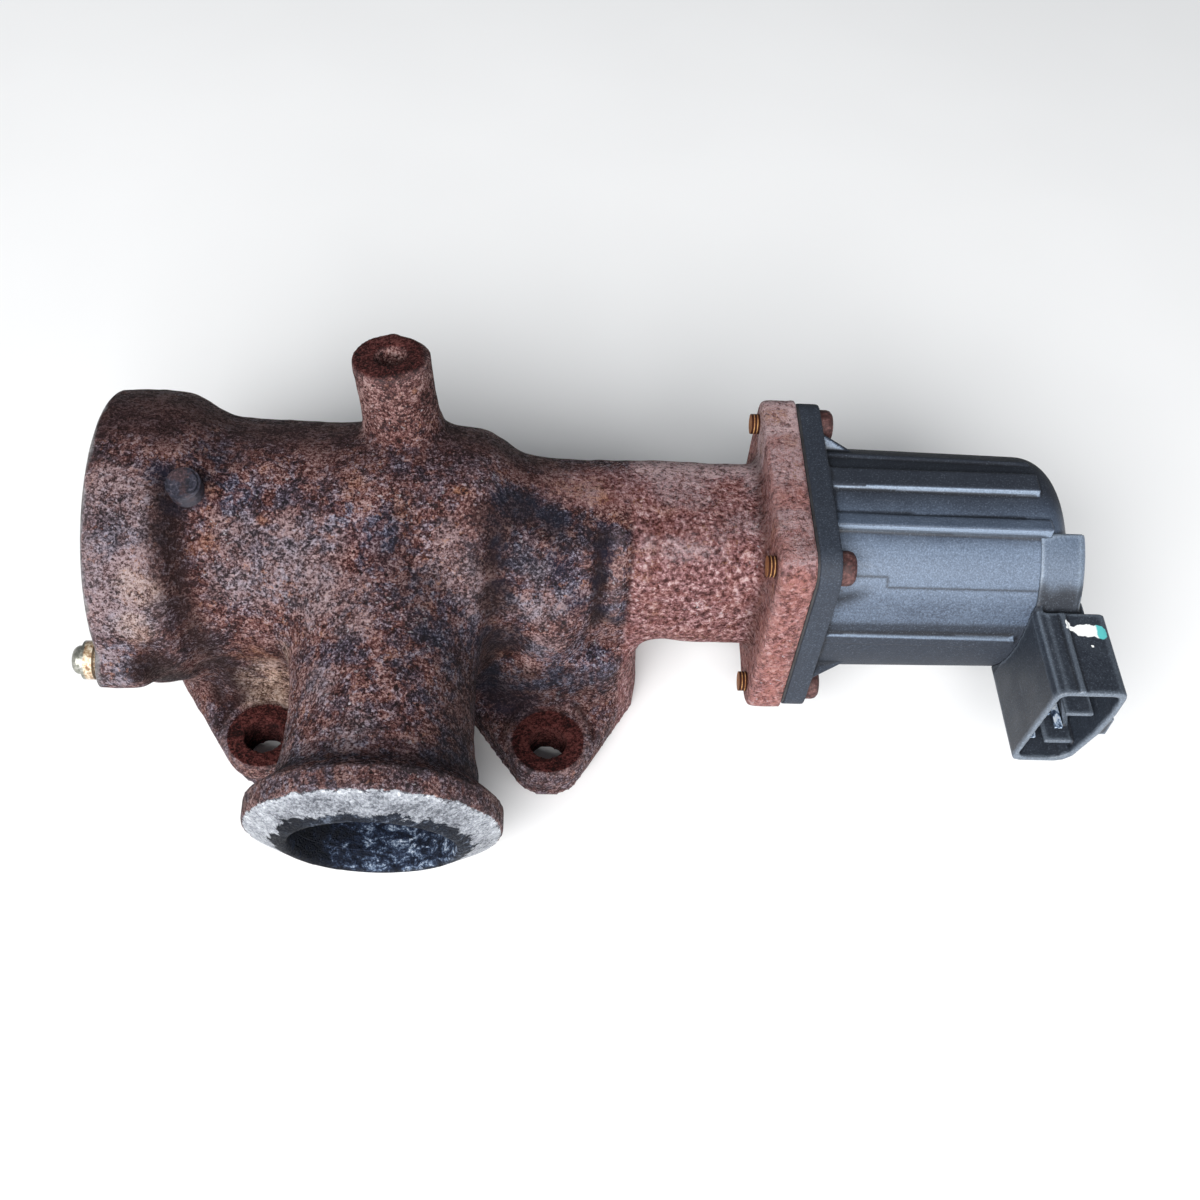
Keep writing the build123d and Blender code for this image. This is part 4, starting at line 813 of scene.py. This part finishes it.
# -------------------------------------------------- finishes for CAD nodes --
def metal_material(name, base, dark, rough, metal=0.9, lines=None, wear=0.4, bump=0.03):
    n = Nodes(name)
    vec = n.stretch(*lines) if lines else n.mm
    fine = n.noise(1.4, 4, 0.6, vec=vec)
    blot = n.noise(0.22, 5, 0.6, dist=0.5)
    c = n.mix(n.range(blot, 0.42, 0.66), base, dark)
    c = n.mix(n.math("MULTIPLY", n.range(fine, 0.4, 0.65), wear), c, tuple(min(1, x * 1.35) for x in base))
    r = n.range(fine, 0.3, 0.7, rough - 0.1, rough + 0.14)
    bn = n.bump(fine, bump, 0.8)
    return n.done(c, r, bn, metal, 0.5)


def rust_metal(name, lo, mid_c, hi, metal=0.1):
    n = Nodes(name)
    fine = n.noise(1.1, 5, 0.65)
    blot = n.noise(0.35, 5, 0.6, dist=0.5)
    s = n.math("ADD", n.math("MULTIPLY", fine, 0.6), n.math("MULTIPLY", blot, 0.4))
    c = n.ramp(s, [(0.36, lo), (0.50, mid_c), (0.64, hi)])
    bn = n.bump(s, 0.22, 0.9)
    return n.done(c, n.range(fine, 0.3, 0.7, 0.62, 0.9), bn, metal, 0.4)


steel = metal_material("ground_steel", (0.55, 0.56, 0.58), (0.34, 0.34, 0.36), 0.30, 0.95, (0.08, 1.0, 1.0))
sooty = rust_metal("sooted_steel", (0.012, 0.012, 0.014), (0.045, 0.042, 0.042), (0.14, 0.125, 0.115), 0.3)
seatm_mat = rust_metal("heat_tinted_seat", (0.04, 0.035, 0.032), (0.16, 0.14, 0.12), (0.36, 0.33, 0.30), 0.7)
bronze = metal_material("sintered_bronze", (0.52, 0.32, 0.14), (0.30, 0.18, 0.09), 0.42, 0.9, None, 0.4, 0.05)
spring_m = metal_material("peened_spring_wire", (0.22, 0.22, 0.24), (0.10, 0.10, 0.12), 0.40, 0.9, None, 0.3, 0.05)
zinc = metal_material("zinc_plate", (0.50, 0.52, 0.50), (0.36, 0.38, 0.36), 0.38, 0.85, None, 0.4, 0.03)
lamin = metal_material("stacked_laminations", (0.26, 0.27, 0.30), (0.12, 0.12, 0.13), 0.42, 0.8, (3.0, 0.05, 0.05), 0.6, 0.08)
copper = metal_material("enamelled_copper", (0.60, 0.22, 0.08), (0.36, 0.11, 0.04), 0.28, 0.85, (2.4, 0.2, 0.2), 0.5, 0.12)
magnet = metal_material("bonded_magnet", (0.045, 0.045, 0.05), (0.022, 0.022, 0.025), 0.5, 0.2, None, 0.5, 0.06)
gasket_m = metal_material("coated_gasket", (0.035, 0.035, 0.038), (0.020, 0.018, 0.018), 0.6, 0.2, None, 0.3, 0.05)


def plug_material():
    n = Nodes("blued_plug")
    x, y, z = n.xyz()
    s = n.math("ADD", n.math("MULTIPLY", n.noise(1.6, 4, 0.72), 0.55), n.math("MULTIPLY", n.noise(0.5, 4, 0.6, dist=0.6), 0.45))
    c = n.ramp(s, [(0.38, (0.003, 0.003, 0.007)), (0.48, (0.010, 0.010, 0.019)), (0.57, (0.034, 0.032, 0.048)), (0.66, (0.12, 0.105, 0.12))])
    c = n.mix(n.range(n.noise(0.32, 4, 0.62, dist=0.5), 0.47, 0.60, 0.0, 0.60), c, n.ramp(s, [(0.40, (0.014, 0.006, 0.006)), (0.60, (0.085, 0.040, 0.040))]))
    # painted highlight: a bright crescent on the low side of the cap, where its rim catches the lamp
    q = n.math("ADD", n.math("MULTIPLY", n.math("ADD", x, 48.0), 0.45), n.math("MULTIPLY", n.math("ADD", y, 12.6), -0.834))
    q = n.math("ADD", q, n.math("MULTIPLY", n.math("SUBTRACT", z, 76.9), -0.320))
    painted_edge_highlight = n.range(n.math("ADD", q, n.math("MULTIPLY", s, 2.2)), 3.6, 5.2)
    c = n.mix(n.math("MULTIPLY", painted_edge_highlight, 0.30), c, (0.20, 0.19, 0.22))
    return n.done(c, n.range(s, 0.3, 0.7, 0.55, 0.9), n.bump(s, 0.55, 1.0), 0.1, 0.35)


def dowel_material():
    n = Nodes("passivated_dowel")
    x, y, z = n.xyz()
    f = n.noise(1.3, 4, 0.65)
    b = n.noise(0.45, 4, 0.6, dist=0.6)
    c = n.ramp(n.math("ADD", n.math("MULTIPLY", f, 0.5), n.math("MULTIPLY", b, 0.5)),
               [(0.34, (0.15, 0.15, 0.125)), (0.50, (0.26, 0.26, 0.225)), (0.64, (0.48, 0.47, 0.43))])
    base = n.range(n.math("ADD", x, n.math("MULTIPLY", b, 1.2)), -73.1, -72.6)
    c = n.mix(n.math("MULTIPLY", base, 0.9), c, n.ramp(f, [(0.38, (0.20, 0.095, 0.040)), (0.50, (0.42, 0.30, 0.18)), (0.60, (0.66, 0.57, 0.44))]))
    return n.done(c, n.range(f, 0.3, 0.7, 0.26, 0.5), n.bump(f, 0.08, 0.8), n.math("SUBTRACT", 0.7, n.math("MULTIPLY", base, 0.5)), 0.5)


def blade_material():
    n = Nodes("tinned_blade_painted_glint")
    # painted glint: bright blue-white streaks over dark navy on the terminal blades
    f = n.noise(0.9, 4, 0.6, vec=n.stretch(1.0, 0.5, 1.0), dist=0.8)
    c = n.ramp(f, [(0.40, (0.030, 0.045, 0.080)), (0.49, (0.14, 0.20, 0.30)), (0.55, (0.50, 0.62, 0.78)), (0.62, (0.86, 0.93, 1.0))])
    return n.done(c, n.range(f, 0.3, 0.7, 0.40, 0.24), n.bump(f, 0.06, 0.8), 0.35, 0.5)


plug_m, dowel_m, tinned_with_painted_glint = plug_material(), dowel_material(), blade_material()


def screw_material():
    n = Nodes("rusted_screw")
    x, y, z = n.xyz()
    fine = n.noise(1.1, 5, 0.65)
    blot = n.noise(0.35, 5, 0.6, dist=0.5)
    s = n.math("ADD", n.math("MULTIPLY", fine, 0.6), n.math("MULTIPLY", blot, 0.4))
    c = n.ramp(s, [(0.36, (0.012, 0.0045, 0.0045)), (0.48, (0.052, 0.019, 0.018)), (0.58, (0.12, 0.056, 0.052)), (0.68, (0.22, 0.13, 0.12))])
    # thread turns on the end that comes through the flange, still bright gold at the crests
    ridge = n.math("SINE", n.math("MULTIPLY", x, 2 * math.pi / 0.8))
    tip = n.range(x, 86.0, 86.4, 1.0, 0.0)
    c = n.mix(tip, c, n.ramp(n.math("ADD", n.math("MULTIPLY", ridge, 0.42), n.math("MULTIPLY", s, 0.9)),
                             [(0.30, (0.050, 0.014, 0.008)), (0.62, (0.150, 0.050, 0.024)), (0.80, (0.34, 0.145, 0.055)), (0.92, (0.70, 0.44, 0.19))]))
    bn = n.bump(n.math("ADD", s, n.math("MULTIPLY", n.math("MULTIPLY", ridge, tip), 1.2)), 0.22, 0.9)
    return n.done(c, n.range(fine, 0.3, 0.7, 0.55, 0.85), bn, n.math("MULTIPLY", tip, 0.5), 0.4)


screw_m = screw_material()


def pcb_material():
    n = Nodes("green_board")
    x, y, z = n.xyz()
    tr = n.range(n.voronoi(0.30, "DISTANCE_TO_EDGE"), 0.05, 0.09, 1.0, 0.0)
    c = n.mix(n.range(n.noise(0.3, 3, 0.5), 0.3, 0.7), (0.010, 0.095, 0.030), (0.016, 0.14, 0.045))
    c = n.mix(n.math("MULTIPLY", tr, 0.5), c, (0.03, 0.24, 0.08))
    return n.done(c, n.range(n.noise(1.0, 2, 0.5), 0.3, 0.7, 0.24, 0.36), n.bump(tr, 0.03, 0.6), 0.0, 0.5)


def polymer(name, lo, hi, rough):
    n = Nodes(name)
    f = n.noise(1.2, 4, 0.6)
    c = n.mix(n.range(n.noise(0.15, 4, 0.6), 0.35, 0.65), lo, hi)
    c = n.mix(n.math("MULTIPLY", n.range(f, 0.45, 0.7), 0.25), c, tuple(min(1, x * 1.3) for x in hi))
    return n.done(c, n.range(f, 0.3, 0.7, rough - 0.08, rough + 0.1), n.bump(f, 0.05, 0.7), 0.0, 0.5)


natural = polymer("natural_polymer", (0.50, 0.48, 0.42), (0.62, 0.60, 0.54), 0.42)
rubber = polymer("seal_rubber", (0.010, 0.010, 0.010), (0.024, 0.023, 0.022), 0.55)
board_m = pcb_material()

FINISH = {"valve_seat": seatm_mat, "poppet_head": sooty, "valve_stem": steel, "deposit_scraper": seatm_mat, "guide_bush": bronze,
          "stem_seal": rubber, "spring_seat": steel, "return_spring": spring_m, "spring_retainer": spring_m, "retainer_collets": steel,
          "actuator_gasket": gasket_m, "connector_terminals": tinned_with_painted_glint, "front_cover_plate": zinc, "lead_screw": steel,
          "front_bearing_outer_ring": steel, "front_bearing_inner_ring": steel, "front_bearing_balls": steel, "rotor_nut": natural,
          "rotor_magnet": magnet, "sensor_magnet": magnet, "rear_bush": bronze, "stator_core": lamin, "stator_coils": copper,
          "position_sensor_board": board_m, "board_carrier": natural, "actuator_screws": screw_m, "inlet_dowel": dowel_m,
          "core_plug": plug_m}
for node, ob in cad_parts.items():
    if node in FINISH:
        if not ob.data.materials:
            ob.data.materials.append(FINISH[node])
        for s in ob.material_slots:
            s.material = FINISH[node]

# ------------------------------------------------------------------- stage --
floor_mesh = bpy.data.meshes.new("floor")
s = 3.0
floor_mesh.from_pydata([(-s, -s, 0), (s, -s, 0), (s, s, 0), (-s, s, 0)], [], [(0, 1, 2, 3)])
floor = bpy.data.objects.new("floor", floor_mesh)
SC.collection.objects.link(floor)
floor.location = (0, 0, -0.0003)
nf = Nodes("pale_floor")
cf = nf.mix(nf.range(nf.noise(0.01, 2, 0.5), 0.3, 0.7), (0.89, 0.89, 0.89), (0.91, 0.91, 0.91))
floor.data.materials.append(nf.done(cf, 0.9, None, 0.0, 0.1))

world = bpy.data.worlds.new("studio")
SC.world = world
world.use_nodes = True
world.node_tree.nodes["Background"].inputs[0].default_value = (0.86, 0.93, 1.0, 1)
world.node_tree.nodes["Background"].inputs[1].default_value = 0.14


def area(name, pos, target, size, power, color=(1, 1, 1), size_y=None):
    l = bpy.data.lights.new(name, "AREA")
    l.shape = "RECTANGLE"
    l.size = size
    l.size_y = size_y or size
    l.energy = power
    l.color = color
    o = bpy.data.objects.new(name, l)
    SC.collection.objects.link(o)
    o.location = pos
    o.rotation_euler = (Vector(target) - Vector(pos)).to_track_quat("-Z", "Y").to_euler()
    return o


area("key", (-0.38, -1.42, 1.10), (0.04, 0, 0.045), 1.7, 72.0, (1.0, 1.0, 1.0), 1.1)
area("fill", (1.4, -1.1, 0.70), (0.05, 0, 0.04), 0.9, 6.0, (0.92, 0.96, 1.0))
